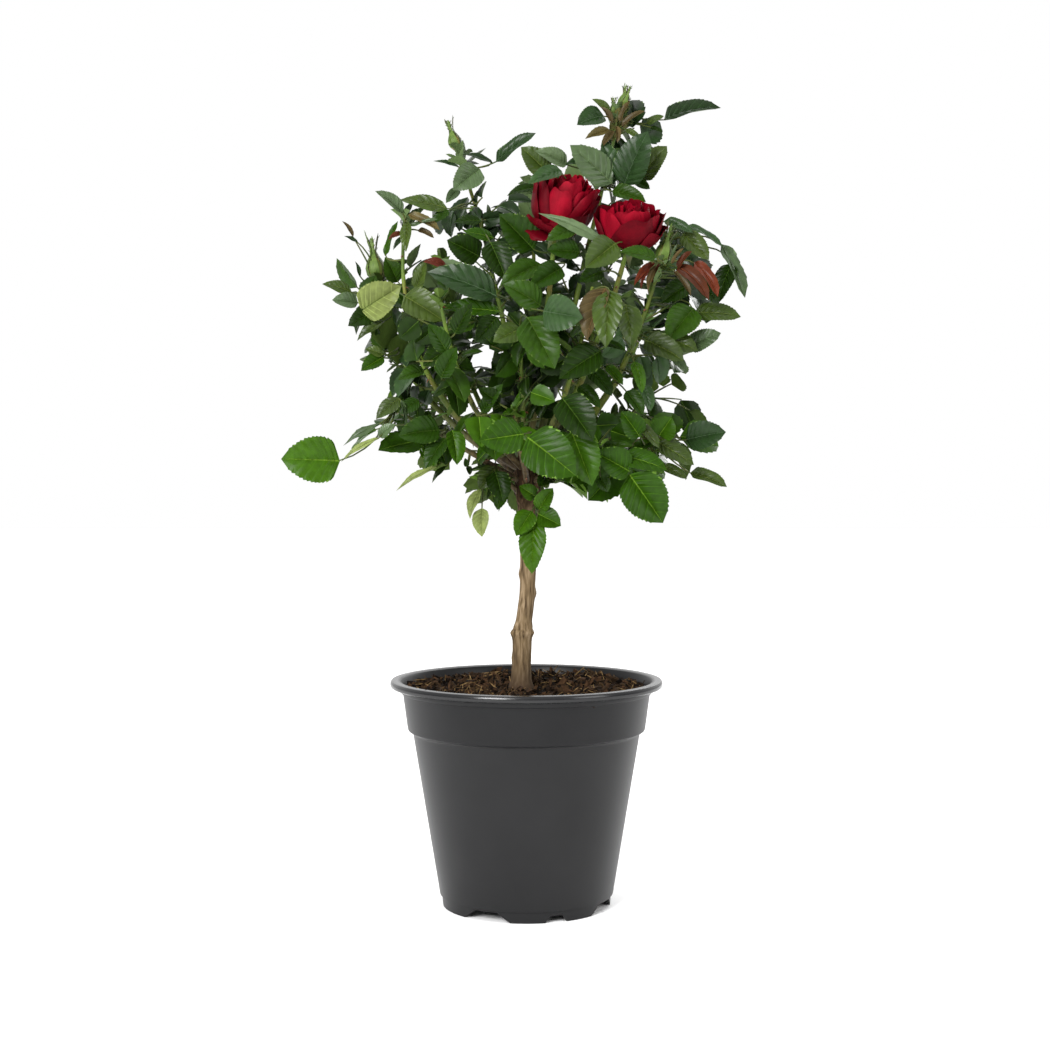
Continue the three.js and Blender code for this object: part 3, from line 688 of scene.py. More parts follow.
def clear_of_limbs(points, margin):
    offset = points[:, None] - limb_starts
    share = np.clip((offset * limb_ways).sum(2) / limb_squares, 0, 1)
    away = np.linalg.norm(offset - share[..., None] * limb_ways, axis=2)
    return (away > limb_radii + margin).all(1)


def is_free(cane, points, over=20, own_space=1.2, limb_margin=1.6):
    """For each point, whether a leaf of this cane may pass there."""
    inside = ((points >= CROWN_LOW) & (points <= CROWN_HIGH)).all(1)
    inside &= points[:, 2] <= cane.tip[2] + over
    if not inside.any():
        return inside
    away = np.linalg.norm(points[:, None] - keep_points[:, :3], axis=2) - keep_points[:, 3]
    mine = keep_owner == cane.index
    own = away[:, ~mine].min(1) > away[:, mine].min(1) + own_space
    return inside & own & clear_of_limbs(points, limb_margin)


print("limb stretches:", len(limb_radii))

# %% [markdown]
# A rose leaf is compound: a stalk with one leaflet at its end and one or two pairs along it. It is planned
# flat, a along the stalk and b across, then bent down in an arc. The plan keeps only the frame of the leaf:
# where it starts, which way it points, which way its upper face looks, and its leaflets.

# %% Planning a leaf
LEAF_SAG, LEAFLET_WIDTH, WIDE_AT, PAIR_SPREAD, STALK_WIDTH = 0.14, 0.74, 0.42, 70, 1.3
FIVE = {"stalk": 1.32, "pairs": [(0.3, 0.78), (0.72, 0.92)]}
THREE = {"stalk": 0.74, "pairs": [(0.55, 0.9)]}


def about(vector, axis, angle):
    """A vector turned about a unit axis by an angle in radians."""
    cos, sin = math.cos(angle), math.sin(angle)
    return vector * cos + np.cross(axis, vector) * sin + axis * (axis @ vector) * (1 - cos)


def leaf_plan(root, toward, stalk, size, bend, roll):
    middle = root + toward * stalk
    outlook = unit(middle * (1, 1, 0)) * 0.8 + (0, -0.35, 0.45)
    face = about(unit(outlook - toward * (outlook @ toward)), toward, math.radians(roll))
    leaflets = [SimpleNamespace(foot=stalk, hand=1, spread=0, length=size)]
    for share, scale in (FIVE if stalk > 1.1 * size else THREE)["pairs"]:
        for hand in (1, -1):
            leaflets.append(SimpleNamespace(
                foot=stalk * share, hand=hand, spread=PAIR_SPREAD, length=size * scale))
    arc = (stalk + size) / math.radians(bend)
    return SimpleNamespace(root=root, toward=toward, face=face, side=np.cross(face, toward), stalk=stalk,
                           arc=arc, leaflets=leaflets)


def leaf_points(leaf, places):
    """Points of a leaf from places given along and across it."""
    places = np.atleast_2d(places)
    turn = places[:, :1] / leaf.arc
    lift = -LEAF_SAG * np.abs(places[:, 1:])
    return (leaf.root + leaf.toward * ((leaf.arc + lift) * np.sin(turn))
            + leaf.face * (-leaf.arc * (1 - np.cos(turn)) + lift * np.cos(turn))
            + leaf.side * places[:, 1:])


def on_leaflet(leaflet, x, z):
    """The place of a leaflet's point, x along its midrib and z across from -1 to 1."""
    cos, sin = math.cos(math.radians(leaflet.spread)), math.sin(math.radians(leaflet.spread))
    length = leaflet.length
    across = 0.5 * LEAFLET_WIDTH * length * z
    return (leaflet.foot + cos * length * x + sin * across,
            leaflet.hand * (STALK_WIDTH / 2 + sin * length * x - cos * across))


SAMPLE_PLACES = [(0.2, 0), (0.4, 0), (0.6, 0), (0.8, 0), (1, 0)]
for z in (-1, -0.5, 0.5, 1):
    SAMPLE_PLACES += [(WIDE_AT, z), (mix(WIDE_AT, 1, 0.4), 0.6 * z), (0.25, 0.55 * z)]


def leaflet_samples(leaf, leaflet):
    return leaf_points(leaf, [on_leaflet(leaflet, x, z) for x, z in SAMPLE_PLACES])


def away_from(tangent, turn, lift):
    """The direction at a bearing round a shoot, lifted away from it by some degrees."""
    reference = np.array([1.0, 0, 0]) if abs(tangent[0]) < 0.8 else np.array([0, 1.0, 0])
    first = about(unit(np.cross(reference, tangent)), tangent, math.radians(turn))
    return tangent * math.cos(math.radians(lift)) + first * math.sin(math.radians(lift))


print("test points on a leaflet:", len(SAMPLE_PLACES))

# %% [markdown]
# The leaves of a cane are tried at random along it, from a stream of numbers that the cane's own seed
# starts. A trial that finds no room is dropped, and the next one is a little smaller.

# %% Growing the leaves
GOLDEN = 137.508
TRIES = 48
LEAF_RANGES = (38, 80), (45, 95), (-34, 34)  # lift from the cane, bend and roll, in degrees
WORD = 0xFFFFFFFF


def stream(seed):
    """An endless repeatable stream of numbers from 0 to 1."""
    state = seed
    while True:
        state = (state + 0x6D2B79F5) & WORD
        mixed = ((state ^ (state >> 15)) * (state | 1)) & WORD
        mixed ^= (mixed + (((mixed ^ (mixed >> 7)) * (mixed | 61)) & WORD)) & WORD
        yield (mixed ^ (mixed >> 14)) / 2 ** 32


def keep_if_it_fits(cane, plan, least, taken, apart=6, **room):
    """Keeps the leaflets of a plan that find room, if there are enough, and notes where they lie."""
    stalk = leaf_points(plan, [(plan.stalk * share, 0) for share in (0.5, 0.75, 1)])
    if not is_free(cane, stalk, **room).all():
        return None
    kept = []
    for leaflet in plan.leaflets:
        samples = leaflet_samples(plan, leaflet)
        crowded = len(taken) and (np.linalg.norm(samples[:, None] - np.array(taken), axis=2) <= apart).any()
        if not crowded and is_free(cane, samples, **room).all():
            kept.append((leaflet, samples))
    if len(kept) < least:
        return None
    for _, samples in kept:
        taken.extend(samples)
    plan.leaflets = [leaflet for leaflet, _ in kept]
    plan.cane = cane
    return plan


def reaching_plan(cane, share, goal, size, bend=24):
    """A leaf aimed so that its tip, after bending, ends at the goal."""
    root = cane.path.at(mix(cane.leafy, 1, share))
    aim = goal.copy()
    for _ in range(8):
        reach = np.linalg.norm(aim - root)
        plan = leaf_plan(root, (aim - root) / reach, reach - size, size, bend, 0)
        aim += goal - leaf_points(plan, (plan.stalk + size, 0))[0]
    return plan


def trial_plan(cane, number, at, size, attempt, dealt, lifts, bends, rolls):
    """Plans a leaf at a share of a cane, from dealt numbers: with five leaflets and with three by turns."""
    turn, lift, roll, bow = dealt
    stalk = size * (THREE if attempt % 2 else FIVE)["stalk"]
    toward = away_from(cane.path.along(at), number * GOLDEN + 360 * turn, mix(*lifts, lift))
    return leaf_plan(cane.path.at(at), toward, stalk, size, mix(*bends, bow), mix(*rolls, roll))


def leaves_of(cane, taken):
    """The leaves of a cane: first those that reach a set place, then those that are tried at random."""
    numbers = stream(11 + 37 * cane.index)
    found = []
    for share, *goal in REACHES.get(cane.name, []):
        goal = np.array(goal, float)
        root = cane.path.at(mix(cane.leafy, 1, share))
        size = min(cane.size * 1.15, np.linalg.norm(goal - root) * 0.55)
        found.append(keep_if_it_fits(cane, reaching_plan(cane, share, goal, size), 1, taken))
    for i in range(cane.leaves):
        for attempt in range(TRIES):
            spot, turn, lift, grow, roll, bow = (next(numbers) for _ in range(6))
            share = mix(0.06, 1, (i + spot) / cane.leaves)
            at = mix(cane.leafy, 1, share)
            size = cane.size * mix(1.08, 0.86, share) * mix(0.88, 1.12, grow)
            size *= 1 - 0.3 * attempt / TRIES
            plan = trial_plan(cane, i, at, size, attempt, (turn, lift, roll, bow), *LEAF_RANGES)
            leaf = keep_if_it_fits(cane, plan, 3 if attempt < TRIES / 2 else 2, taken)
            if leaf:
                found.append(leaf)
                break
    return [leaf for leaf in found if leaf]


leaves = []
for cane in canes:
    cane.taken = []
    grown = leaves_of(cane, cane.taken)
    leaves.extend(grown)
    print(cane.name, "".join(str(len(leaf.leaflets)) for leaf in grown))
print("leaves:", len(leaves), "leaflets:", sum(len(leaf.leaflets) for leaf in leaves))

# %% [markdown]
# ## The stem
# The bare stem is woody: grey-brown bark with fine upright cracks, a flare at the soil, a knuckle where a
# shoot was once cut off, and a knobbly head where the canes were grafted. It starts as a circle at the soil.
# Each ring above it is extruded along the stem's line and resized to the girth there. The bark's relief is
# then pressed in along the radius: ridges that are long and narrow, a few knuckles, and lumps on the head.

# %% Extrude the stem ring by ring
STEM_RINGS, STEM_SIDES = 110, 44
select_nothing()
bpy.ops.mesh.primitive_circle_add(vertices=STEM_SIDES, radius=stem_radius(STEM_LINE.at(0)[2]) * MM)
stem = start_shaping("stem_bark")
here = STEM_LINE.at(0)
bpy.ops.transform.translate(value=here * MM)
bpy.ops.mesh.edge_face_add()
bpy.ops.mesh.select_mode(type="FACE")
for ring in range(1, STEM_RINGS + 1):
    there = STEM_LINE.at(ring / STEM_RINGS)
    bpy.ops.mesh.extrude_region_move(TRANSFORM_OT_translate={"value": (there - here) * MM})
    share = stem_radius(there[2]) / stem_radius(here[2])
    bpy.ops.transform.resize(value=(share, share, 1), center_override=there * MM)
    here = there
bpy.ops.mesh.inset(thickness=2.5 * MM)
bpy.ops.transform.translate(value=(0, 0, 1.2 * MM))
bpy.ops.mesh.poke()
end_shaping()
print("stem:", len(stem.data.polygons), "faces")

# %% Press the bark's relief into it
KNUCKLES = [  # bearing in degrees, height, reach and rise, in millimetres
    (200, 190, 4.5, 1.5), (330, 191, 4, 1.2), (80, 189, 4, 1.3), (20, 217, 3.6, 1.5), (190, 231, 3.2, 1.1),
    (300, 166, 3.4, 0.9), (150, 172, 3.2, 1), (250, 206, 3, 0.9), (110, 246, 3.4, 1.2), (340, 258, 3.2, 1.1),
    (230, 284, 5, 1.6), (40, 290, 5, 1.8), (310, 276, 4, 1.4), (140, 300, 5, 1.4), (270, 304, 5, 1.3),
]
BARK_RIDGES = [(0.3, 2.4, 24), (0.16, 1.1, 9)]  # rise, breadth and height of what stands out
HEAD_LUMPS = [(1.5, 5, 5), (0.8, 2.2, 2.2)]
HEAD_FROM, HEAD_FADE = 268, 18
FOOT_FROM = 150.5
stem_axis = np.array([STEM_LINE.at(share) for share in np.linspace(0, 1, 60)])


def axis_at(height):
    return np.array([np.interp(height, stem_axis[:, 2], stem_axis[:, i]) for i in (0, 1)])


def standing_out(rows, x, y, z):
    return sum(rise * noise.noise((x / broad, y / broad, z / tall)) for rise, broad, tall in rows)


def bark_relief(x, y, z, bearing, radius):
    """How far the bark stands out at a place, in millimetres."""
    head = min(1, max(0, (z - HEAD_FROM) / HEAD_FADE))
    upright = standing_out(BARK_RIDGES, x, y, z)
    lumps = head * standing_out(HEAD_LUMPS, x, y, z)
    collar = 0.7 * math.exp(-((z - 189.5) / 1.6) ** 2) - 0.5 * math.exp(-((z - 192.6) / 1.1) ** 2)
    knuckles = 0
    for turn, height, reach, rise in KNUCKLES:
        around = math.remainder(bearing - math.radians(turn), math.tau) * radius
        knuckles += rise * math.exp(-(around ** 2 + (z - height) ** 2) / reach ** 2)
    return upright * (1 - 0.4 * head) + lumps + collar + knuckles


for corner in stem.data.vertices:
    x, y, z = corner.co / MM
    offset = np.array([x, y]) - axis_at(z)
    radius = float(np.hypot(*offset))
    if radius > 1 and z > FOOT_FROM:
        rise = bark_relief(x, y, z, math.atan2(offset[1], offset[0]), radius)
        corner.co.x += offset[0] / radius * rise * MM
        corner.co.y += offset[1] / radius * rise * MM
smooth_shade(stem, 70)
print("stem box:", [round(n / MM, 1) for n in stem.dimensions])

# %% [markdown]
# Bark colour follows the growth too. Stretching the noise along Z makes streaks, dark in the cracks and
# pale on the ridges. The head is darker and redder than the stem below, so the height of a place blends to
# it, and near the soil it stains the foot with earth.

# %% Bark finish
HEAD_BLEND, EARTH_BLEND = (0.258, 0.284), (0.172, 0.152)
stem_bark, tree, shader, place = new_finish("stem_bark", **DULL)
streaks = clouds(tree, scaled(tree, place, (1.0, 1.0, 0.12)), 520.0, 6.0)
wood_grey = ramp(tree, streaks, [(0.3, "#3c3023"), (0.5, "#67563f"), (0.7, "#8b7860")])
head_brown = ramp(tree, streaks, [(0.3, "#140e09"), (0.5, "#35271b"), (0.72, "#5e4a36")])
height = height_of(tree, place)
bark = blended(tree, ranged(tree, height, *HEAD_BLEND), wood_grey, head_brown)
stained = blended(tree, ranged(tree, height, *EARTH_BLEND), bark, colour("#3d3024"))
tree.links.new(stained, shader.inputs["Base Color"])
add_bump(tree, shader, streaks, 0.3, 0.4)
finished(stem, "bark", ["trunk"], stem_bark)
print("stem finished")

# %% [markdown]
# ## Canes and shoots
# A cane is a tapering limb, woody where it leaves the head and green above, with swollen joints and hooked
# prickles. Twenty-five of them on the same lines as the solids would be slow work by hand, so one helper
# makes a closed tube through a row of points and the canes become one mesh. The same helper, pressed flat,
# later gives sepals and the small wings at the foot of each leaf stalk.

# %% A tube through points
SWAY_LENGTH, SWAY_SEED = 26, 5
noise.seed_set(SWAY_SEED)  # without a seed, noise_vector would start from the clock


def tube(points, radii, sides, flat=1.0, look=(0.31, 0.22, 0.92)):
    """Corners and faces of a closed tube through points. flat presses it thin, in the direction of look."""
    points, radii = np.asarray(points, float), np.asarray(radii, float)
    ways = np.gradient(points, axis=0)
    ways /= np.linalg.norm(ways, axis=1)[:, None]
    angles = np.arange(sides) * math.tau / sides
    thick = np.asarray(look, float)
    rings = []
    for point, way, radius in zip(points, ways, radii):
        thick = unit(thick - way * (thick @ way))
        broad = np.cross(thick, way)
        ring = np.outer(np.cos(angles), broad) + flat * np.outer(np.sin(angles), thick)
        rings.append(point + radius * ring)
    last = (len(points) - 1) * sides
    corners = np.concatenate([*rings, points[:1], points[-1:]])
    faces = []
    for i in range(sides):
        j = (i + 1) % sides
        faces += [(s + j, s + i, s + sides + i, s + sides + j) for s in range(0, last, sides)]
        faces += [(i, j, len(corners) - 2), (last + j, last + i, len(corners) - 1)]
    return corners, faces


def wavering(path, start, end, steps, amount, seed):
    """Points along a part of a path that waver a little, as a grown cane does."""
    points = []
    for share in np.linspace(start, end, steps):
        spot = path.at(share)
        sway = np.array(noise.noise_vector(Vector(spot) / SWAY_LENGTH + Vector((seed, 0, 0))))
        points.append(spot + amount * sway * math.sin(math.pi * share))
    return np.array(points)


print("faces on a six-sided tube of two rings:", len(tube([(0, 0, 0), (0, 0, 1)], [1, 1], 6)[1]))


# %% Canes with joints and prickles
THICK_CANES = {"front_right": 1.7, "left_bud": 1.2, "left": 1.15, "top_right": 1.2, "right": 1.15}
GREEN_CANE = "front_right"
BARK, PRICKLE, STALK, WING, GREEN = range(5)  # the finishes of the shoots
BOUGH_GREEN = 2  # the boughs have no stalks or wings, so green comes third on them
CANE_SIDES, CANE_STEP, CANE_SWAY = 9, 5, 1.1
JOINT_STEP, JOINT_SWELL = 17, 0.13
GROWTH_SEED = 21
dice = np.random.default_rng(GROWTH_SEED)


def cane_girth(cane, share):
    return cane.girth(share) * mix(THICK_CANES.get(cane.name, 1.05), 1, share)


def add_cane(heap, cane, start, end, slot):
    """A stretch of a cane with swollen joints, and its hooked prickles, which lean back towards the root."""
    steps = max(6, int(cane.path.length * (end - start) / CANE_STEP))
    shares = np.linspace(start, end, steps)
    points = wavering(cane.path, start, end, steps, CANE_SWAY, cane.index)
    joints = 1 + JOINT_SWELL * np.cos(shares * cane.path.length / JOINT_STEP * math.tau) ** 8
    heap.add(*tube(points, [cane_girth(cane, share) for share in shares] * joints, CANE_SIDES), [slot])
    for spot in np.linspace(2, len(points) - 2, max(1, len(points) // 4)).astype(int):
        way = unit(points[spot + 1] - points[spot - 1])
        out = unit(away_from(way, dice.uniform(0, 360), 90))
        foot = points[spot] + out * cane_girth(cane, spot / len(points)) * 0.6
        hook = [foot, foot + out * 1.5 - way * 0.4, foot + out * 2.9 - way * 1.5]
        heap.add(*tube(hook, [1.0, 0.55, 0.06], 4, 0.6, out), [PRICKLE])


boughs, shoots = Heap(), Heap()
for cane in canes:
    green = cane.name == GREEN_CANE
    if cane.bare:
        add_cane(boughs, cane, 0, cane.bare + 0.004, BOUGH_GREEN if green else BARK)
    add_cane(shoots, cane, cane.leafy, 1, GREEN if green else BARK)
boughs = boughs.make("boughs_bark", 60)
print("boughs:", sum(1 for cane in canes if cane.bare))

# %% [markdown]
# Young canes are green with a waxy bloom, yellower in the light and flushed red in places, and they turn to
# brown bark near the head. The height of a place decides between the two, over some five centimetres, so
# that the change has no hard line. The thickest cane, on the right, is young and green all the way down.

# %% Cane finishes
WAXY = {"Roughness": 0.55, "Specular_IOR_Level": 0.25}
SHINY = {"Roughness": 0.5, "Specular_IOR_Level": 0.25}
GREEN_BLEND = (0.31, 0.365)
cane_bark, tree, shader, place = new_finish("cane_bark", **WAXY)
streaks = clouds(tree, scaled(tree, place, (1.0, 1.0, 0.2)), 420.0, 5.0)
green = ramp(tree, clouds(tree, place, 45.0, 3.0), [(0.3, "#3a4f18"), (0.55, "#566a22"), (0.75, "#6a5428")])
brown = ramp(tree, streaks, [(0.3, "#2c2217"), (0.6, "#594b33"), (0.75, "#6a5e38")])
cane_colour = blended(tree, ranged(tree, height_of(tree, place), *GREEN_BLEND), brown, green)
tree.links.new(cane_colour, shader.inputs["Base Color"])
add_bump(tree, shader, streaks, 0.35, 0.3)
prickle_red = drifting("prickle_red", ("#4a2616", "#74482c"), 4, 0.2, Roughness=0.5)
cane_young = drifting("cane_young", ("#384a0e", "#525a19"), 14, 0.2, **SHINY)
bough_nodes = [name for name in nodes if name.startswith("bough_")]
finished(boughs, "cane", bough_nodes, cane_bark, prickle_red, cane_young)

# %% [markdown]
# ## Leaflets
# A rose leaflet is oval with a saw-toothed edge. Its side veins are pressed in, so the blade is quilted, and
# the midrib is a pale groove. It is seen hundreds of times, so it gets only some fifty faces: rows of points
# that lean forward as the veins do, high and low by turns, with one tooth to a row. The back is a second
# sheet that shares the edge with the first. A finer kind, for leaves that are seen from close by, has its
# side veins as thin strips and two teeth to a row. Each kind is drawn flat, with length 1, then folded,
# curled and laid.

# %% Draw a leaflet by its corners
UPPER, RIB, UNDER, VEIN = range(4)
VEIN_LEAN, VEIN_HALF, RIB_START = 2.0, 0.006, 0.01
EDGE_FOOT, EDGE_TIP, LAST_TOOTH = 0.5, 0.84, 0.985
EDGE_PEAK = WIDE_AT ** EDGE_FOOT * (1 - WIDE_AT) ** EDGE_TIP


def half_width(along):
    return 0.5 * LEAFLET_WIDTH * along ** EDGE_FOOT * (1 - along) ** EDGE_TIP / EDGE_PEAK


class Blade:
    """A flat leaflet of length 1. Corners are (along, across, relief, depth, end of the row at the edge)."""

    def __init__(self, seed, rows):
        self.dice = np.random.default_rng(seed)
        self.rows = rows
        self.corners = [(0, 0, 0, 0, 0), (1, 0, 0, 0, 1)]
        self.index = {"foot": 0, "tip": 1}
        self.rings, self.finishes = [], []

    def corner(self, name, *place):
        self.index[name] = len(self.corners)
        self.corners.append(place)

    def both(self, name, row, along, across, relief, end):
        for hand in (1, -1):
            self.corner((name, row, hand), along, hand * across, relief, 0, end)

    def spine(self, row):
        middle = (row / self.rows) ** VEIN_LEAN
        self.corner(("mid", row), middle, 0, -0.3, 0, 0)
        self.corner(("keel", row), middle, 0, -0.3, 1, 0)
        return middle, 0.004 + 0.008 * (1 - middle)

    def edge(self, name, row, along, tooth):
        along = min(LAST_TOOTH, along)
        self.both(name, row, along, half_width(along) * self.dice.uniform(0.98, 1.02) + tooth, 0, along)

    def find(self, name, row, hand):
        """The number of a corner: 'foot', 'tip' or a kind of corner in a row, or with a plus in the next."""
        row, name = row + name.endswith("+"), name.rstrip("+")
        for key in (name, (name, row), (name, row, hand)):
            if key in self.index:
                return self.index[key]

    def face(self, finish, row, names):
        """A face on each half, through the corners that are named."""
        for hand in (1, -1):
            ring = [self.find(name, row, hand) for name in names.split()]
            self.rings.append(ring[::hand])
            self.finishes.append(finish)

    def ends(self, rib, web):
        """Closes the blade at its foot and tip. rib and web name the corners next to the tip."""
        last = self.rows - 1
        self.face(RIB, 1, "foot mid rib")
        self.face(UPPER, 1, "foot rib web")
        self.face(UPPER, 1, "foot web notch")
        self.face(UNDER, 1, "foot notch keel")
        self.face(RIB, last, f"mid tip {rib}")
        self.face(UPPER, last, f"{rib} tip {web}")
        self.face(UPPER, last, f"{web} tip notch")
        self.face(UNDER, last, "keel notch tip")
        return np.array(self.corners), self.rings, np.array(self.finishes)


print("a leaflet is widest with", round(2 * half_width(WIDE_AT), 2), "of its length")


# %% Two kinds of leaflet
def plain_leaflet(seed, rows=7):
    """One tooth and one quilted hill to a row."""
    blade = Blade(seed, rows)
    for row in range(1, rows):
        edge = row / rows
        middle, rib = blade.spine(row)
        blade.both("rib", row, middle + RIB_START, rib, 0.6, edge)
        blade.both("web", row, mix(middle, edge, 0.55), 0.55 * half_width(edge), 2 if row % 2 else 0.2, edge)
        blade.edge("notch", row, edge, 0)
        blade.edge("tooth", row, edge + 0.8 / rows, 0.03)
    for row in range(1, rows - 1):
        blade.face(RIB, row, "mid mid+ rib+ rib")
        blade.face(UPPER, row, "rib rib+ web+ web")
        blade.face(UPPER, row, "web web+ notch+ tooth notch")
        blade.face(UNDER, row, "keel notch tooth notch+ keel+")
    return blade.ends("rib", "web")


def veined_leaflet(seed, rows=8):
    """Two teeth to a row, a hill between the veins, and each vein a thin strip."""
    blade = Blade(seed, rows)
    for row in range(1, rows):
        edge, next_edge, half_row = row / rows, (row + 1) / rows, 0.5 / rows
        middle, rib = blade.spine(row)
        between = ((row + 0.5) / rows) ** VEIN_LEAN
        web, crest = mix(middle, edge, 0.6), mix(between, edge + half_row, 0.6)
        blade.both("rib", row, middle + RIB_START - VEIN_HALF, rib, 0.5, edge)
        blade.both("rib_far", row, middle + RIB_START + VEIN_HALF, rib, 0.5, edge)
        blade.both("web", row, web - 0.7 * VEIN_HALF, 0.6 * half_width(edge), 0.2, edge)
        blade.both("web_far", row, web + 0.7 * VEIN_HALF, 0.6 * half_width(edge), 0.2, edge)
        blade.edge("notch", row, edge, 0)
        if row < rows - 1:
            blade.both("hill", row, between + RIB_START, rib, 1.2, edge + half_row)
            blade.both("crest", row, crest, 0.6 * half_width(edge + half_row), 3.1, edge + half_row)
            blade.edge("tooth", row, edge + 0.42 / rows, 0.022)
            blade.edge("gap", row, edge + half_row, 0.004)
            blade.edge("tooth_far", row, next_edge - 0.08 / rows, 0.022)
    for row in range(1, rows):
        blade.face(VEIN, row, "rib rib_far web_far web")
        blade.face(VEIN, row, "web web_far notch")
        if row < rows - 1:
            blade.face(RIB, row, "mid mid+ rib+ hill rib_far rib")
            blade.face(UPPER, row, "rib_far hill crest web_far")
            blade.face(UPPER, row, "hill rib+ web+ crest")
            blade.face(UPPER, row, "web_far crest gap tooth notch")
            blade.face(UPPER, row, "crest web+ notch+ tooth_far gap")
            blade.face(UNDER, row, "keel notch tooth gap tooth_far notch+ keel+")
    return blade.ends("rib_far", "web_far")


DRAWINGS = 5
LEAFLETS = [plain_leaflet(seed) for seed in range(DRAWINGS)]
VEINED = [veined_leaflet(seed) for seed in range(DRAWINGS)]
print("faces on a leaflet:", len(LEAFLETS[0][1]), "and on a veined one:", len(VEINED[0][1]))


# %% Fold it, curl it and lay it in place
QUILTING, LEAFLET_DEPTH = 0.015, 0.5
WIDEST = LEAFLET_WIDTH / 2
STRAIGHT = 0.02  # a leaflet that curls less than this is laid on a very wide arc


def lay_leaflet(heap, foot, forward, face, length, width, fold, curl, wave, finishes, drawn=LEAFLETS):
    """Lays one leaflet from its foot. fold lifts its halves, curl bends it down along its length."""
    corners, rings, kinds = drawn[int(dice.integers(len(drawn)))]
    along, across, relief, depth, row_end = corners.T
    x, y = along * length, across * length * width
    z = relief * length * QUILTING - depth * LEAFLET_DEPTH + np.abs(y) * math.tan(fold)
    z += wave * length * np.sin(7 * row_end + 2 * np.sign(across)) * np.abs(across) / WIDEST
    radius = length / curl if abs(curl) > STRAIGHT else length / STRAIGHT
    turn = x / radius
    face = unit(face - forward * (face @ forward))
    side = np.cross(face, forward)
    ahead, up = (radius + z) * np.sin(turn), (radius + z) * np.cos(turn) - radius
    points = foot + np.outer(ahead, forward) + np.outer(up, face) + np.outer(y, side)
    heap.add(points, rings, [finishes[kind] for kind in kinds])


def leaflet_frame(leaf, leaflet):
    """The foot, the way forward and the upper face of a leaflet, from the plan of its leaf."""
    foot, near, far, tip, one, other = leaf_points(leaf, [on_leaflet(leaflet, *spot) for spot in (
        (0, 0), (0.3, 0), (0.7, 0), (1, 0), (WIDE_AT, -1), (WIDE_AT, 1))])
    forward = unit(tip - foot)
    face = unit(np.cross(far - near, other - one))
    turn = leaflet.foot / leaf.arc
    upper = leaf.face * math.cos(turn) + leaf.toward * math.sin(turn)
    return foot, forward, face if face @ upper > 0 else -face, np.linalg.norm(tip - foot)


print("height of the quilting:", QUILTING, "of a leaflet's length")

# %% [markdown]
# ## Shades of green
# Colour on so many small faces is dealt out leaf by leaf, not painted as a pattern: each shade has three
# near tones for the upper face, one for the midrib, two for the paler back and one for the side veins. Old
# high leaves are a dusky green with a waxy gloss, the body of the crown is deep green, the low front leaves
# are fresh, and moss green ones lie between the fresh and the dusky. The youngest are bronze red and turn
# olive as they grow. Sage and pale leaves are those that show their backs or are still soft.

# %% Leaf finishes
LEAF_SHADES = {
    "dusky": (["#1b2d13", "#25391c", "#14230c"], "#41543a", ["#435430", "#4e6038"]),
    "deep": (["#192d05", "#213609", "#122203"], "#3a4f1c", ["#3a4c1c", "#455824"]),
    "fresh": (["#253f06", "#2a4607", "#1e3604"], "#587424", ["#46601f", "#54702a"]),
    "sage": (["#3a492e", "#445337", "#324127"], "#4a5a38", ["#4a593a", "#546340"]),
    "olive": (["#433820", "#453e22", "#3b321d"], "#6a5233", ["#464624", "#4e4c28"]),
    "bronze": (["#3f190f", "#4c2112", "#3a1d10"], "#6c3826", ["#4e2417", "#4a331d"]),
    "moss": (["#2c3b11", "#313f14", "#27340f"], "#58642f", ["#44522a", "#4e5a2e"]),
    "pale": (["#646e3d", "#6d7744", "#5a6335"], "#525f2e", ["#6d7744", "#76804b"]),
}
LEAF_SHINE, PLAIN_SHINE = {"dusky": 0.17, "sage": 0.22, "moss": 0.2}, 0.09
UPPER_TONES, RIB_SLOT, BACK_SLOT, BACK_TONES, VEIN_SLOT = 3, 3, 4, 2, 6


def lighter(code, share):
    parts = [int(code[i:i + 2], 16) for i in (1, 3, 5)]
    return "#" + "".join(f"{min(255, round(p * (1 + share))):02x}" for p in parts)


def leaf_finishes(shade):
    """The seven finishes of a shade, in the order that tones() counts on."""
    uppers, rib, backs = LEAF_SHADES[shade]
    rows = [  # part, colour, how much lighter it drifts, size of a patch, relief and roughness
        *((str(number), code, 0.16, 5, 0.12, 0.33) for number, code in enumerate(uppers)),
        ("rib", rib, 0.1, 5, 0.1, 0.5),
        *((f"back_{number}", code, 0.1, 4, 0.2, 0.62) for number, code in enumerate(backs)),
        ("vein", lighter(uppers[0], 0.24), 0.1, 5, 0.1, 0.45),
    ]
    gloss = LEAF_SHINE.get(shade, PLAIN_SHINE)
    made = []
    for part, code, drift, patch, bump, rough in rows:
        sockets = {"Roughness": rough, "Specular_IOR_Level": gloss}
        made.append(drifting(f"leaf_{shade}_{part}", (code, lighter(code, drift)), patch, bump, **sockets))
    return made


heaps = {shade: Heap() for shade in LEAF_SHADES}


def tones():
    """One of the upper tones of a shade, its rib, one of its backs and its veins."""
    upper, back = int(dice.integers(UPPER_TONES)), int(dice.integers(BACK_TONES))
    return upper, RIB_SLOT, BACK_SLOT + back, VEIN_SLOT


print("leaf shades:", *LEAF_SHADES)

# %% [markdown]
# ## Leaves that stand out
# Most of the crown is a thicket, but about a hundred and fifty leaflets can be told apart in the photograph,
# and these make the plant this plant and no other. Each is a row: its shade, where its foot shows in the
# picture and how far that is behind the stem (in front of it is less than zero), where its tip shows and how
# much further back that is, how broad it is, and by how many degrees it is rolled away from the viewer. The
# camera turns a pixel and a depth into a place. Every leaflet gets a stalk that runs back to the nearest
# shoot.

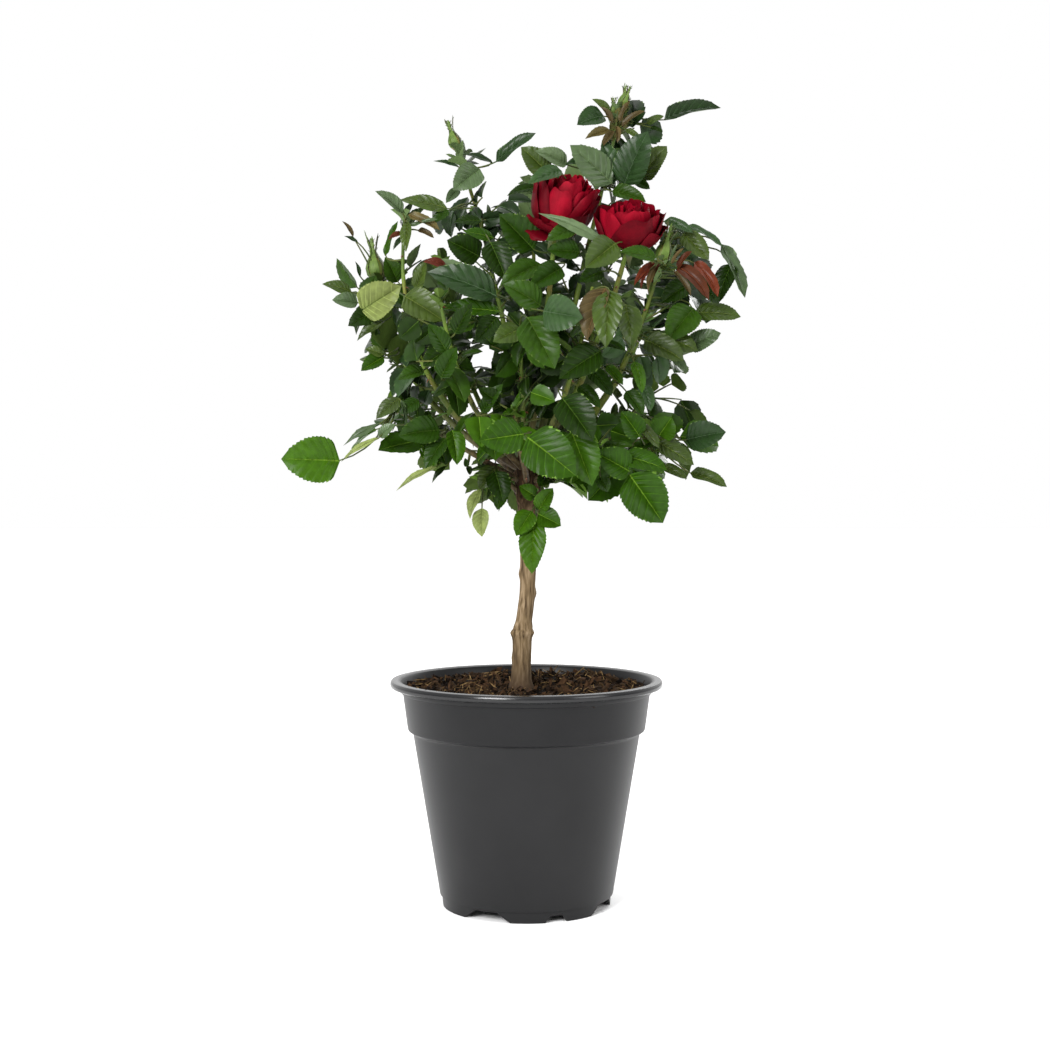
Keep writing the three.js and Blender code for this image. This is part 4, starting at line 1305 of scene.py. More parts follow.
# %% Where a pixel lies in space
LENS_TURN = np.array(camera.rotation_euler.to_matrix())
LENS_PLACE = np.array(camera.location) / MM
PICTURE_MIDDLE = np.array([IMAGE_PIXELS / 2 + PIXELS_OFF_CENTRE, IMAGE_PIXELS / 2])


def seen_at(column, row, depth):
    """The place that shows at a pixel of the picture, at a depth behind the stem."""
    off = (np.array([column, row]) - PICTURE_MIDDLE) / FOCAL_PIXELS
    way = LENS_TURN @ (off[0], -off[1], -1)
    return LENS_PLACE + way * (depth - LENS_PLACE[1]) / way[1]


def pixels_of(points):
    """The pixels at which places show."""
    local = (points - LENS_PLACE) @ LENS_TURN
    return PICTURE_MIDDLE - FOCAL_PIXELS * local[:, :2] * (1, -1) / local[:, 2:]


print("the left bloom's stalk ends at pixel", pixels_of(canes[-2].tip[None])[0].round())

# %% The leaves of the picture
STANDING_OUT = [
    # round the top of the crown
    ("dusky", 624, 186, -15, 648, 131, -7, 0.84, 22), ("sage", 612, 184, -14, 570, 145, -5, 0.8, 30),
    ("dusky", 613, 184, -6, 602, 140, -2, 0.7, 30), ("moss", 640, 181, -4, 667, 146, 2, 0.75, 25),
    ("deep", 636, 181, -8, 650, 189, -3, 0.8, 20), ("deep", 612, 191, -24, 646, 202, -6, 0.62, 30),
    ("dusky", 604, 116, 2, 577, 125, -6, 1, 35), ("moss", 610, 112, 2, 592, 99, -2, 0.55, 40),
    ("dusky", 664, 120, 12, 721, 108, 4, 0.62, 58), ("moss", 646, 124, 8, 664, 116, 0, 0.7, 45),
    ("deep", 650, 127, 8, 663, 132, 0, 0.6, 45), ("olive", 610, 130, -2, 585, 139, -2, 0.45, 30),
    ("olive", 612, 124, -4, 600, 106, -2, 0.4, 40), ("olive", 620, 122, -4, 630, 101, -2, 0.4, 40),
    ("olive", 622, 127, -4, 646, 111, -2, 0.35, 45), ("olive", 614, 131, -6, 602, 147, -3, 0.5, 30),
    ("moss", 626, 129, -4, 641, 141, -3, 0.5, 30), ("olive", 616, 126, -8, 617, 143, -4, 0.45, 35),
    # round the blooms
    ("moss", 548, 173, -10, 521, 147, -4, 0.9, 15), ("sage", 567, 165, -14, 535, 151, -6, 0.65, 30),
    ("dusky", 586, 160, -12, 565, 165, -4, 0.5, 40), ("dusky", 562, 171, -62, 528, 184, -10, 0.55, 35),
    ("deep", 538, 188, -40, 507, 196, -4, 0.5, 50), ("sage", 606, 243, -84, 538, 213, 2, 0.21, 30),
    ("deep", 578, 226, -78, 546, 241, -4, 0.65, 30), ("moss", 616, 243, -82, 585, 268, -8, 0.95, 10),
    ("deep", 657, 259, -84, 619, 252, -4, 0.6, 45), ("deep", 580, 252, -76, 547, 250, -4, 0.8, 20),
    ("deep", 562, 268, -74, 530, 288, -6, 0.8, 15), ("deep", 603, 271, -70, 579, 282, -6, 0.8, 20),
    # left of the middle
    ("deep", 480, 257, -34, 447, 240, -4, 1, 10), ("fresh", 494, 238, -38, 463, 231, -4, 0.6, 40),
    ("deep", 482, 221, -26, 453, 223, -4, 0.55, 45), ("deep", 534, 250, -44, 499, 214, -6, 0.9, 15),
    ("deep", 541, 264, -64, 500, 285, -6, 0.65, 30), ("deep", 490, 242, -52, 506, 280, -6, 0.9, 15),
    ("dusky", 497, 297, -66, 427, 272, -2, 0.6, 30), ("sage", 478, 280, -54, 424, 261, 0, 0.4, 50),
    ("moss", 404, 296, -58, 444, 321, -6, 0.85, 15), ("fresh", 500, 312, -68, 440, 309, -2, 0.5, 45),
    ("deep", 476, 321, -64, 442, 333, -4, 0.7, 30), ("deep", 455, 345, -66, 423, 366, -6, 0.9, 15),
    ("deep", 424, 370, -52, 398, 380, -4, 0.7, 30), ("deep", 447, 352, -96, 428, 324, -4, 0.8, 20),
    ("deep", 455, 334, -98, 472, 303, -4, 0.75, 25), ("deep", 441, 378, -94, 457, 347, -4, 0.8, 20),
    # the left end
    ("pale", 361, 311, -16, 401, 286, -8, 1, 10), ("moss", 352, 293, 4, 322, 284, -4, 0.6, 40),
    ("sage", 358, 303, -2, 332, 300, -4, 0.8, 20), ("deep", 376, 312, -12, 348, 326, -6, 0.8, 20),
    ("moss", 385, 321, -16, 357, 341, -4, 0.5, 50), ("deep", 398, 282, -2, 385, 257, -6, 0.9, 10),
    ("moss", 417, 290, -24, 426, 261, -4, 0.65, 30), ("sage", 403, 213, -34, 375, 191, -4, 0.55, 40),
    ("moss", 448, 209, -30, 399, 200, -4, 0.5, 45), ("moss", 408, 222, -38, 406, 252, -4, 0.5, 25),
    ("olive", 408, 215, -36, 440, 230, -4, 0.42, 35), ("sage", 410, 226, -40, 438, 219, -2, 0.26, 40),
    ("olive", 418, 230, -34, 434, 238, -2, 0.5, 30), ("dusky", 404, 236, -38, 393, 250, -3, 0.38, 30),
    ("bronze", 403, 233, -36, 388, 240, -3, 0.4, 30), ("deep", 449, 210, -32, 430, 225, -3, 0.6, 35),
    ("fresh", 385, 256, -20, 398, 221, -4, 0.32, 40), ("olive", 353, 237, 14, 342, 221, -2, 0.34, 40),
    ("dusky", 360, 277, 6, 355, 261, -2, 0.35, 40), ("dusky", 358, 242, 14, 344, 236, -2, 0.36, 40),
    ("bronze", 446, 268, -58, 423, 262, -3, 0.55, 40), ("sage", 480, 169, -4, 453, 190, -6, 0.95, 10),
    ("dusky", 493, 163, 2, 461, 154, -2, 0.35, 60), ("dusky", 459, 167, 2, 433, 161, -4, 0.3, 60),
    ("sage", 459, 189, 0, 446, 203, -3, 0.7, 20), ("dusky", 496, 162, -2, 536, 133, -6, 0.5, 45),
    ("moss", 384, 355, -22, 365, 349, -2, 0.7, 30), ("fresh", 384, 357, -22, 361, 371, -4, 0.8, 25),
    # the middle
    ("olive", 606, 288, -111, 587, 341, -7, 0.62, 35), ("moss", 610, 290, -117, 606, 348, -10, 0.62, 10),
    ("moss", 625, 304, -104, 631, 345, -6, 0.85, 25), ("dusky", 543, 311, -112, 583, 318, -8, 1.15, 5),
    ("deep", 527, 317, -100, 555, 369, -8, 0.85, 10), ("moss", 521, 329, -86, 493, 342, -6, 0.9, 20),
    ("deep", 498, 317, -82, 476, 341, -6, 0.8, 20), ("deep", 541, 306, -86, 503, 284, -4, 0.8, 20),
    ("deep", 601, 351, -94, 559, 379, -6, 0.8, 15), ("deep", 598, 344, -90, 626, 351, -4, 0.5, 45),
    ("fresh", 634, 361, -72, 642, 393, -4, 0.6, 35), ("deep", 590, 370, -62, 612, 396, -4, 0.7, 25),
    ("fresh", 606, 366, -60, 623, 385, -4, 0.6, 30), ("deep", 578, 386, -66, 600, 408, -4, 0.65, 30),
    ("deep", 500, 404, -72, 478, 388, -4, 0.8, 20), ("deep", 482, 413, -70, 503, 384, -4, 0.6, 30),
    # the right end
    ("dusky", 664, 221, -22, 693, 233, -6, 0.55, 40), ("moss", 682, 233, -20, 709, 260, -6, 0.75, 25),
    ("dusky", 688, 225, -16, 723, 247, -4, 0.4, 55), ("sage", 721, 244, -10, 745, 298, -4, 0.45, 45),
    ("deep", 733, 263, -8, 718, 304, -4, 0.65, 30), ("olive", 674, 271, -66, 691, 296, -6, 0.34, 30),
    ("bronze", 677, 267, -66, 709, 300, -8, 0.42, 30), ("bronze", 694, 262, -62, 718, 297, -6, 0.4, 30),
    ("bronze", 655, 263, -68, 634, 286, -4, 0.3, 30), ("bronze", 652, 262, -70, 641, 290, -4, 0.26, 35),
    ("olive", 656, 265, -70, 648, 293, -4, 0.28, 35), ("bronze", 660, 264, -66, 652, 284, -4, 0.24, 30),
    ("bronze", 678, 268, -68, 692, 251, -4, 0.42, 30), ("olive", 672, 264, -70, 684, 248, -4, 0.3, 35),
    ("sage", 670, 262, -68, 677, 244, -3, 0.3, 40), ("deep", 694, 308, -50, 667, 341, -6, 0.95, 10),
    ("moss", 694, 313, -40, 741, 317, -4, 0.65, 35), ("sage", 688, 347, -44, 721, 333, -6, 0.8, 20),
    ("moss", 665, 337, -52, 698, 351, -6, 0.8, 25), ("moss", 644, 340, -64, 684, 361, -6, 0.75, 25),
    ("sage", 668, 352, -50, 687, 373, -4, 0.6, 35), ("deep", 690, 284, -48, 661, 303, -4, 0.8, 20),
    ("deep", 700, 283, -46, 719, 304, -4, 0.8, 20),
    # low on the right
    ("dusky", 642, 384, -62, 651, 411, -4, 0.75, 25), ("deep", 626, 391, -68, 643, 415, -4, 0.75, 25),
    ("fresh", 640, 437, -62, 621, 411, -4, 0.95, 15), ("moss", 640, 424, -58, 659, 448, -4, 0.6, 35),
    ("fresh", 659, 436, -46, 672, 417, -4, 1.5, 5), ("dusky", 686, 440, -28, 726, 432, -6, 0.95, 15),
    ("moss", 657, 442, -48, 694, 465, -4, 0.65, 30), ("moss", 690, 473, -32, 727, 487, -4, 0.55, 35),
    ("moss", 662, 466, -46, 687, 479, -4, 0.6, 35), ("fresh", 622, 456, -80, 667, 470, -4, 0.7, 30),
    ("fresh", 630, 472, -84, 594, 452, -6, 0.95, 15), ("deep", 601, 447, -84, 585, 471, -4, 0.8, 20),
    ("fresh", 629, 474, -82, 663, 523, 2, 1, 5), ("deep", 602, 446, -78, 633, 446, -4, 0.5, 45),
    ("deep", 600, 477, -86, 608, 492, -2, 1.1, 10),
    # low in the middle and on the left
    ("deep", 562, 398, -102, 593, 441, -8, 0.9, 10), ("fresh", 527, 437, -112, 576, 476, -8, 1, 5),
    ("fresh", 571, 431, -98, 592, 486, -6, 0.85, 10), ("fresh", 524, 434, -110, 479, 441, -8, 1, 10),
    ("deep", 440, 430, -68, 398, 436, -6, 0.85, 15), ("moss", 400, 398, -60, 376, 419, -4, 0.7, 30),
    ("deep", 419, 400, -58, 399, 414, -4, 0.8, 20), ("sage", 401, 400, -64, 405, 427, -2, 0.35, 50),
    ("sage", 380, 424, -72, 343, 446, -4, 0.3, 55), ("fresh", 340, 461, -84, 281, 459, -6, 1.02, 5),
    ("pale", 379, 438, -78, 341, 462, -4, 0.22, 50), ("sage", 379, 437, -74, 395, 424, -2, 0.8, 30),
    ("deep", 446, 438, -70, 425, 469, -4, 0.7, 30), ("fresh", 452, 430, -76, 457, 465, -4, 0.75, 25),
    ("pale", 437, 467, -62, 396, 491, -4, 0.25, 60), ("deep", 447, 466, -60, 432, 483, -2, 0.4, 50),
    # hanging at the stem
    ("moss", 496, 467, -24, 479, 489, -4, 0.95, 10), ("deep", 495, 471, -28, 503, 502, -4, 1, 10),
    ("pale", 481, 489, -22, 470, 519, -3, 0.5, 40), ("pale", 482, 508, -24, 482, 537, -3, 0.75, 20),
    ("fresh", 536, 497, -26, 519, 486, -3, 1, 15), ("fresh", 539, 510, -28, 553, 488, -3, 0.9, 15),
    ("fresh", 532, 511, -28, 516, 536, -4, 0.95, 15), ("fresh", 538, 514, -30, 561, 526, -4, 1.1, 15),
    ("fresh", 535, 520, -28, 532, 574, -4, 0.65, 15), ("deep", 467, 467, -22, 465, 458, -1, 0.8, 10),
    ("deep", 468, 466, -22, 470, 475, -1, 0.85, 15),
]
print("leaflets that stand out:", len(STANDING_OUT))

# %% Lay them and lead their stalks to the shoots
SHOOT_STEPS, SHOOT_END, BLOOM_LEAFY = 24, 0.98, 0.55
STALK_STEPS, STALK_SIDES = 7, 5
VEINED_FROM = 0.45  # broader leaflets than this show their veins
shoot_points = []
for cane in canes:
    low = BLOOM_LEAFY if cane.end == "bloom" else cane.leafy
    shoot_points += [cane.path.at(mix(low, SHOOT_END, i / SHOOT_STEPS)) for i in range(SHOOT_STEPS + 1)]
shoot_points = np.array(shoot_points)
shown = []
YOUNG_FOLD = {"bronze": (0.7, 0.1), "olive": (0.2, 0.32)}  # how much more such leaves curl and fold


def lay_between(heap, foot, tip, width, roll, finishes, young):
    """Lays a leaflet from foot to tip, facing the viewer and then rolled so that it looks more upwards."""
    curl, fold = dice.uniform(0.15, 0.7) + young[0], dice.uniform(0.15, 0.5) + young[1]
    chord = unit(tip - foot)
    toward = LENS_PLACE - foot
    faces = [about(unit(toward - chord * (toward @ chord)), chord, math.radians(r)) for r in (roll, -roll)]
    face = max(faces, key=lambda way: way[2])
    forward = chord * math.cos(curl / 2) + face * math.sin(curl / 2)
    length = np.linalg.norm(tip - foot) * curl / 2 / math.sin(curl / 2)
    drawn = VEINED if width > VEINED_FROM else LEAFLETS
    wave = dice.uniform(0.01, 0.05)
    lay_leaflet(heap, foot, forward, face, length, width, fold, curl, wave, finishes, drawn)


def lead_stalk(foot, chord):
    """A stalk from the nearest shoot, which arrives in the line of the leaflet."""
    beside = np.linalg.norm(pixels_of(shoot_points) - pixels_of(foot[None]), axis=1)
    root = shoot_points[np.argmin(beside + 0.5 * np.abs(shoot_points[:, 1] - foot[1]))]
    reach = np.linalg.norm(foot - root)
    line = bent(root, mix(root, foot, 0.5) * 0.4 + (foot - chord * reach * 0.45) * 0.6, foot + chord)
    points = [line.at(share) for share in np.linspace(0, 1, STALK_STEPS)]
    shoots.add(*tube(points, np.linspace(0.8, 0.45, STALK_STEPS), STALK_SIDES), [STALK])


def keep_in_sight(spot, breadth):
    """Notes a place that no leaflet of the thicket may hide, and for how many pixels round it."""
    shown.append((*pixels_of(spot[None])[0], spot[1], breadth))


for shade, column, row, depth, tip_column, tip_row, lean, width, roll in STANDING_OUT:
    foot, tip = seen_at(column, row, depth), seen_at(tip_column, tip_row, depth + lean)
    lay_between(heaps[shade], foot, tip, width, roll, tones(), YOUNG_FOLD.get(shade, (0, 0)))
    lead_stalk(foot, unit(tip - foot))
    breadth = 0.3 * math.hypot(tip_column - column, tip_row - row)
    for share in (0.1, 0.35, 0.6, 0.85):
        keep_in_sight(mix(foot, tip, share), breadth)
print("stalks led to the shoots")

# %% [markdown]
# ## The thicket
# The rule's own leaves fill the crown behind them. A leaflet of the thicket is left out where it would hide
# a leaf that stands out, a bloom or the thick cane on the right, or where the photograph shows the sky.

# %% What must stay in sight
SKY = [  # column, row and radius of a bit of sky, in pixels
    (437, 250, 9), (430, 180, 24), (500, 178, 14), (512, 165, 8), (560, 148, 7), (560, 120, 30),
    (690, 165, 24), (690, 200, 16), (725, 220, 24), (640, 95, 8), (690, 90, 24), (720, 385, 34),
    (668, 396, 9), (372, 395, 18), (345, 345, 14), (335, 400, 36), (470, 452, 9), (500, 459, 6),
    (600, 515, 18), (560, 500, 16), (690, 510, 24), (636, 545, 40), (420, 520, 50), (350, 500, 40),
    (484, 355, 5), (507, 352, 4), (503, 522, 12), (552, 512, 8), (541, 266, 7), (483, 276, 5),
    (465, 299, 6), (616, 273, 6), (735, 365, 20), (760, 300, 16), (378, 233, 5), (320, 320, 18),
    (350, 250, 8), (455, 545, 40), (520, 590, 34), (602, 84, 12), (566, 536, 22), (590, 545, 20),
    (700, 345, 3), (505, 318, 5), (395, 255, 5), (412, 270, 5), (640, 352, 4), (362, 462, 16),
    (385, 467, 16), (405, 474, 12), (453, 473, 13),
]
CANE_IN_SIGHT, BLOOM_IN_SIGHT, STEM_IN_SIGHT = 8, 36, 11

for cane in canes:
    if cane.name == GREEN_CANE:
        for share in np.linspace(0.4, 1, 14):
            keep_in_sight(cane.path.at(share), CANE_IN_SIGHT)
    if cane.end == "bloom":
        heart = cane.tip + unit(np.array(BLOOM_FACES[cane.name])) * BLOOM_HEIGHT * 0.6
        keep_in_sight(heart, BLOOM_IN_SIGHT)
for height in range(262, 312, 8):
    keep_in_sight(np.array([0, -STEM_IN_SIGHT, height]), STEM_IN_SIGHT)
sky, shown = np.array(SKY), np.array(shown)


def is_welcome(points):
    """Whether a leaflet of the thicket through these points leaves the sky and the shown things in sight."""
    pixels = pixels_of(points)
    off_sky = np.linalg.norm(pixels[:, None] - sky[:, :2], axis=2) > sky[:, 2]
    off_shown = np.linalg.norm(pixels[:, None] - shown[:, :2], axis=2) > shown[:, 3]
    behind = points[:, 1:2] > shown[:, 2] + 1
    return off_sky.all() and (off_shown | behind).all()


print("bits of sky:", len(sky), "places to keep in sight:", len(shown))

# %% Lay the thicket
# leaves that start within this many millimetres of the axis get the darkest tone, as painted shade
PAINTED_SHADE_REACH, PAINTED_SHADE_TONE = 52, 2
WING_LINE = [(0.02, 0.5), (0.1, 1.2), (0.2, 1.3), (0.27, 2.0)]


def add_leaf(leaf, shade):
    """Lays the leaflets of a leaf that are welcome, and its stalk with the two wings at its foot.

    Leaves that start inside the crown get the darkest tone: painted shade for the inside of the crown."""
    finishes, feet = tones(), []
    if math.hypot(*leaf.root[:2]) < PAINTED_SHADE_REACH:
        finishes = (PAINTED_SHADE_TONE, *finishes[1:])
    for leaflet in leaf.leaflets:
        foot, forward, face, length = leaflet_frame(leaf, leaflet)
        face = about(face, forward, dice.normal(0, 0.22))
        shape = (length * dice.uniform(0.97, 1.06), dice.uniform(0.9, 1.05), dice.uniform(0.08, 0.42),
                 dice.uniform(0.1, 0.75), dice.uniform(0, 0.03))
        if is_welcome(leaflet_samples(leaf, leaflet)):
            lay_leaflet(heaps[shade], foot, forward, face, *shape, finishes)
            feet.append(leaflet.foot)
    if not feet:
        return 0
    reach = max(feet) + 1
    stalk = leaf_points(leaf, [(reach * share, 0) for share in np.linspace(0, 1, STALK_STEPS)])
    shoots.add(*tube(stalk, np.linspace(0.85, 0.45, STALK_STEPS), STALK_SIDES), [STALK])
    for hand in (1, -1):
        wing = leaf_points(leaf, [(reach * share, hand * out) for share, out in WING_LINE])
        shoots.add(*tube(wing, [0.5, 0.9, 0.8, 0.1], 4, 0.3, leaf.face), [WING])
    return len(feet)


laid = [add_leaf(leaf, leaf.cane.shade) for leaf in leaves]
print("leaflets of the thicket:", sum(laid), "on", sum(1 for count in laid if count), "leaves")

# %% [markdown]
# ## Finer twigs
# Between the big leaves the crown is filled by side twigs with smaller leaves. They follow the same rule of
# room, with a closer spacing, so they thicken the crown and leave the sky showing where the photograph has
# it.

# %% Side twigs
TWIG_TRIES = 40
TWIG_RANGES = (35, 75), (30, 90), (-50, 50)


def fine_leaves(cane, count, seed, sizes, apart, own_space):
    numbers = stream(seed + 91 * cane.index)
    found = []
    for i in range(count):
        for attempt in range(TWIG_TRIES):
            spot, turn, lift, grow, roll, bow = (next(numbers) for _ in range(6))
            at = mix(cane.leafy, 0.98, (i + spot) / count)
            size = cane.size * mix(*sizes, grow)
            plan = trial_plan(cane, i, at, size, attempt, (turn, lift, roll, bow), *TWIG_RANGES)
            leaf = keep_if_it_fits(cane, plan, 2, cane.taken, apart=apart, own_space=own_space)
            if leaf:
                found.append(leaf)
                break
    return found


leafy_canes = [cane for cane in canes if cane.leaves > 1]
fine = [leaf for cane in leafy_canes for leaf in fine_leaves(cane, 7, 5003, (0.5, 0.78), 3.2, -4)]
fine += [leaf for cane in leafy_canes for leaf in fine_leaves(cane, 8, 9001, (0.6, 0.95), 2.2, -16)]
laid = [add_leaf(leaf, leaf.cane.shade) for leaf in fine]
print("fine leaves:", len(fine), "leaflets laid:", sum(laid))

# %% [markdown]
# ## Buds and young tips
# A bud is an egg of furled petals held by five sepals, which end in long leafy tips. A shoot without a bud
# ends in a tuft of young leaves, still folded along their midribs. Both are turned into the line of the
# shoot.

# %% Young tips
def add_tuft(tip, axis, count, size, shade):
    """Young leaflets still folded, round the end of a shoot."""
    for number in range(count):
        way = away_from(axis, number * GOLDEN + dice.uniform(-20, 20), dice.uniform(20, 65))
        face = unit(axis * 0.4 + np.array([0, 0, 1]) - way * 0.1)
        lay_leaflet(heaps[shade], tip - axis * 2 * number, way, face, size * dice.uniform(0.7, 1.1),
                    dice.uniform(0.5, 0.75), dice.uniform(0.5, 0.9), dice.uniform(-0.2, 0.9), 0.02, tones())


print("the leaflets of a tuft turn by", GOLDEN, "degrees each")

# %% Buds
BUD_LENGTH, BUD_RADIUS = 15.0, 4.9
SEPALS = 5
FLESH, SEPAL, DUSKY = range(3)  # the finishes of the buds
sepals_and_buds = Heap()


def add_bud(tip, axis, scale):
    """An egg of petals on a short hip, and five sepals that follow it and run out in thin tips."""
    side = away_from(axis, 0, 90)
    shares = np.linspace(0, 1, 10)
    egg = tip + np.outer(shares * BUD_LENGTH * scale - 1, axis)
    girths = BUD_RADIUS * scale * np.sin(math.pi * np.clip(shares * 0.9 + 0.1, 0, 1)) ** 0.75
    girths *= 1.12 - 0.35 * shares
    sepals_and_buds.add(*tube(egg, girths + 0.15, 12), [FLESH])
    hip = tip + np.outer(np.linspace(-4, 1.5, 6) * scale, axis)
    sepals_and_buds.add(*tube(hip, np.array([1.2, 2.0, 2.6, 2.7, 2.4, 1.2]) * scale, 10), [SEPAL])
    for number in range(SEPALS):
        out = about(side, axis, math.tau * number / SEPALS + dice.normal(0, 0.1))
        flare = dice.uniform(0.0, 0.5)
        rise = np.linspace(0, 1, 9)
        height = rise * (BUD_LENGTH + dice.uniform(7, 13)) * scale
        hug = np.interp(height, shares * BUD_LENGTH * scale, girths) + 0.35
        spread = hug + flare * np.clip(height - BUD_LENGTH * scale * 0.8, 0, None)
        line = tip + np.outer(height, axis) + np.outer(spread, out)
        width = np.array([1.6, 2.5, 2.7, 2.3, 1.7, 1.1, 0.9, 1.1, 0.15]) * scale
        sepals_and_buds.add(*tube(line, width, 6, 0.2, out), [(SEPAL, DUSKY)[number % 2]])
        for spot in (5, 6, 7):
            way = np.cross(axis, out) * (1 if dice.random() < 0.5 else -1)
            whisker = line[spot] + np.outer([0, 1.6, 3.4], unit(way + axis * 0.9 + out * 0.3)) * scale
            sepals_and_buds.add(*tube(whisker, [0.4, 0.32, 0.06], 4, 0.5, out), [DUSKY])


def add_bracts(tip, axis, count, reach):
    """Narrow young leaves that stand up round a cluster of buds."""
    for number in range(count):
        way = away_from(axis, number * GOLDEN, dice.uniform(14, 48))
        length = reach * dice.uniform(0.5, 1.0)
        rise = np.linspace(0, 1, 7)
        line = tip - axis * 3 + np.outer(rise * length, way)
        line += np.outer(rise ** 2 * length * 0.25, axis - way)
        width = dice.uniform(0.7, 1.5) * np.array([0.6, 0.9, 1.0, 0.95, 0.8, 0.5, 0.08])
        sepals_and_buds.add(*tube(line, width, 5, 0.3, axis), [(SEPAL, DUSKY)[number % 2]])


BUD_SCALES = {"top_right": 0.6, "left_tall": 0.85, "left_bud": 1.3}
for cane in canes:
    if cane.end == "bud":
        add_bud(cane.tip, cane.path.along(1), BUD_SCALES.get(cane.name, 1.0))
    if cane.name == "top_right":
        axis = cane.path.along(1)
        for turn, down in ((20, 7), (150, 10), (260, 14)):
            way = away_from(axis, turn, 38)
            stalk = cane.tip + np.outer([-down - 4, -down, 2 - down], axis) + np.outer([0, 3, 7], way)
            sepals_and_buds.add(*tube(stalk, [1.0, 0.9, 0.9], 6), [DUSKY])
            add_bud(stalk[-1], unit(axis + way * 0.6), 0.5)
        add_bracts(cane.tip - axis * 6, axis, 12, 17)
        add_bracts(cane.tip - axis * 16, axis, 16, 19)
        add_tuft(cane.tip - axis * 12, axis, 8, 17, "olive")
    if cane.name == "left_bud":
        add_bracts(cane.tip - cane.path.along(1) * 4, cane.path.along(1), 6, 18)
print("parts of the buds:", len(sepals_and_buds.corners))

# %% Dress the ends of the other shoots
for cane in canes:
    axis = cane.path.along(1)
    if cane.end == "leaf" and cane.name != "front":
        add_tuft(cane.tip, axis, 5, 13, cane.shade)
    elif cane.end == "bud":
        add_tuft(cane.tip - axis * 5, axis, 6, 15, cane.shade)
print("tips dressed")

# %% [markdown]
# ## The blooms
# Each bloom is a cupped double rose. The heart is packed rings of petals that curl in, and the outer petals
# are placed one by one as the photograph shows them, because their lips give each bloom its face. A petal is
# a curved grid, drawn from a line of radius and height that is swung about the flower's axis, with a rounded
# lip, pleats and a little ruffle. Two grids back to back make it a thin closed sheet. The petals throw dice
# of their own, so that a change among the leaves does not stir the blooms.

# %% The rows of petals
HEART_RINGS = [  # count, half angle, widest radius, radius and height of the lip, tilt, ruffle, roll, finish
    (4, 66, 14, 10.5, 29, 2, 1.6, 1.8, 2),
    (3, 80, 10.5, 7, 30.5, 2, 1.4, 1.4, 1),
    (3, 88, 7, 4.2, 29.5, 2, 1.2, 1.0, 2),
    (2, 105, 3.8, 2, 27, 1.5, 0.6, 0.5, 1),
]
HEART_LIFT = {"bloom_left": 10.5, "bloom_right": 0.5}
OUTER_PETALS = {  # bearing, where 0 faces the viewer and 90 is on the right, then as in a ring
    "bloom_left": [
        (-14, 62, 16.5, 14.5, 34, 2, 1.0, 1.2, 2, 0.34),
        (58, 52, 15.5, 13, 38, 3, 1.2, 1.4, 2),
        (80, 58, 19, 17, 37, 0, 1.4, 1.6, 1),
        (92, 58, 21.5, 20, 33, 0, 1.6, 2.0, 0),
        (-74, 52, 19, 17.5, 34, -2, 1.6, 1.4, 0),
        (-96, 56, 21.5, 20.5, 30, 0, 1.6, 1.8, 0),
        (28, 68, 21, 21.5, 19, 8, 1.8, 2.6, 0),
        (-44, 52, 21, 22, 9, 2, 2.2, 2.2, 0),
        (-48, 44, 19, 20.5, -6, 0, 1.6, 1.0, 0),
        (142, 66, 19, 16, 35, 0, 1.4, 1.8, 1),
        (-142, 66, 19, 16, 34, 0, 1.4, 1.8, 0),
        (180, 68, 21.5, 20, 31, 0, 1.6, 2.2, 0),
    ],
    "bloom_right": [
        (18, 62, 19.5, 19, 26.5, 2, 2.2, 3.0, 0),
        (-10, 62, 16, 14, 30.5, 0, 1.4, 1.4, 2),
        (44, 56, 15.5, 13, 30, 0, 1.4, 1.4, 2),
        (-54, 54, 18.5, 18, 30.5, -2, 1.4, 1.6, 2),
        (-106, 48, 20.5, 21, 25, 0, 1.8, 2.2, 0),
        (72, 52, 19, 19, 28.5, 0, 1.8, 1.8, 1),
        (92, 52, 20.5, 21.5, 24, 0, 2.6, 2.4, 0),
        (66, 46, 20.5, 22, 16, 0, 2.6, 2.2, 0),
        (140, 66, 19, 17, 26.5, 0, 1.5, 1.8, 1),
        (-138, 66, 19, 17, 26.5, 0, 1.5, 1.8, 1),
        (180, 68, 21, 21, 24, 0, 1.6, 2.4, 0),
    ],
}
print("outer petals:", {name: len(rows) for name, rows in OUTER_PETALS.items()})

# %% One petal
PETAL_COLUMNS, PETAL_ROWS, PETAL_THICK, PETAL_SEED = 21, 14, 0.4, 14
petal_dice = np.random.default_rng(PETAL_SEED)


def closed_sheet(upper, lower):
    """Two grids of points back to back, joined along their edges."""
    rows, columns = upper.shape[:2]
    front = np.arange(rows * columns).reshape(rows, columns)
    back = front.copy()
    back[1:-1, 1:-1] = rows * columns + np.arange((rows - 2) * (columns - 2)).reshape(rows - 2, columns - 2)
    faces = []
    for i in range(rows - 1):
        for j in range(columns - 1):
            ring = [(i, j), (i, j + 1), (i + 1, j + 1), (i + 1, j)]
            faces.append([int(front[place]) for place in ring])
            faces.append([int(back[place]) for place in (ring[0], *ring[:0:-1])])
    return np.concatenate([upper.reshape(-1, 3), lower[1:-1, 1:-1].reshape(-1, 3)]), faces


def pleats(u, fewest, most):
    """Waves across a petal, with their number and their start from the petals' dice."""
    return np.sin(petal_dice.uniform(fewest, most) * u + petal_dice.uniform(0, 6))


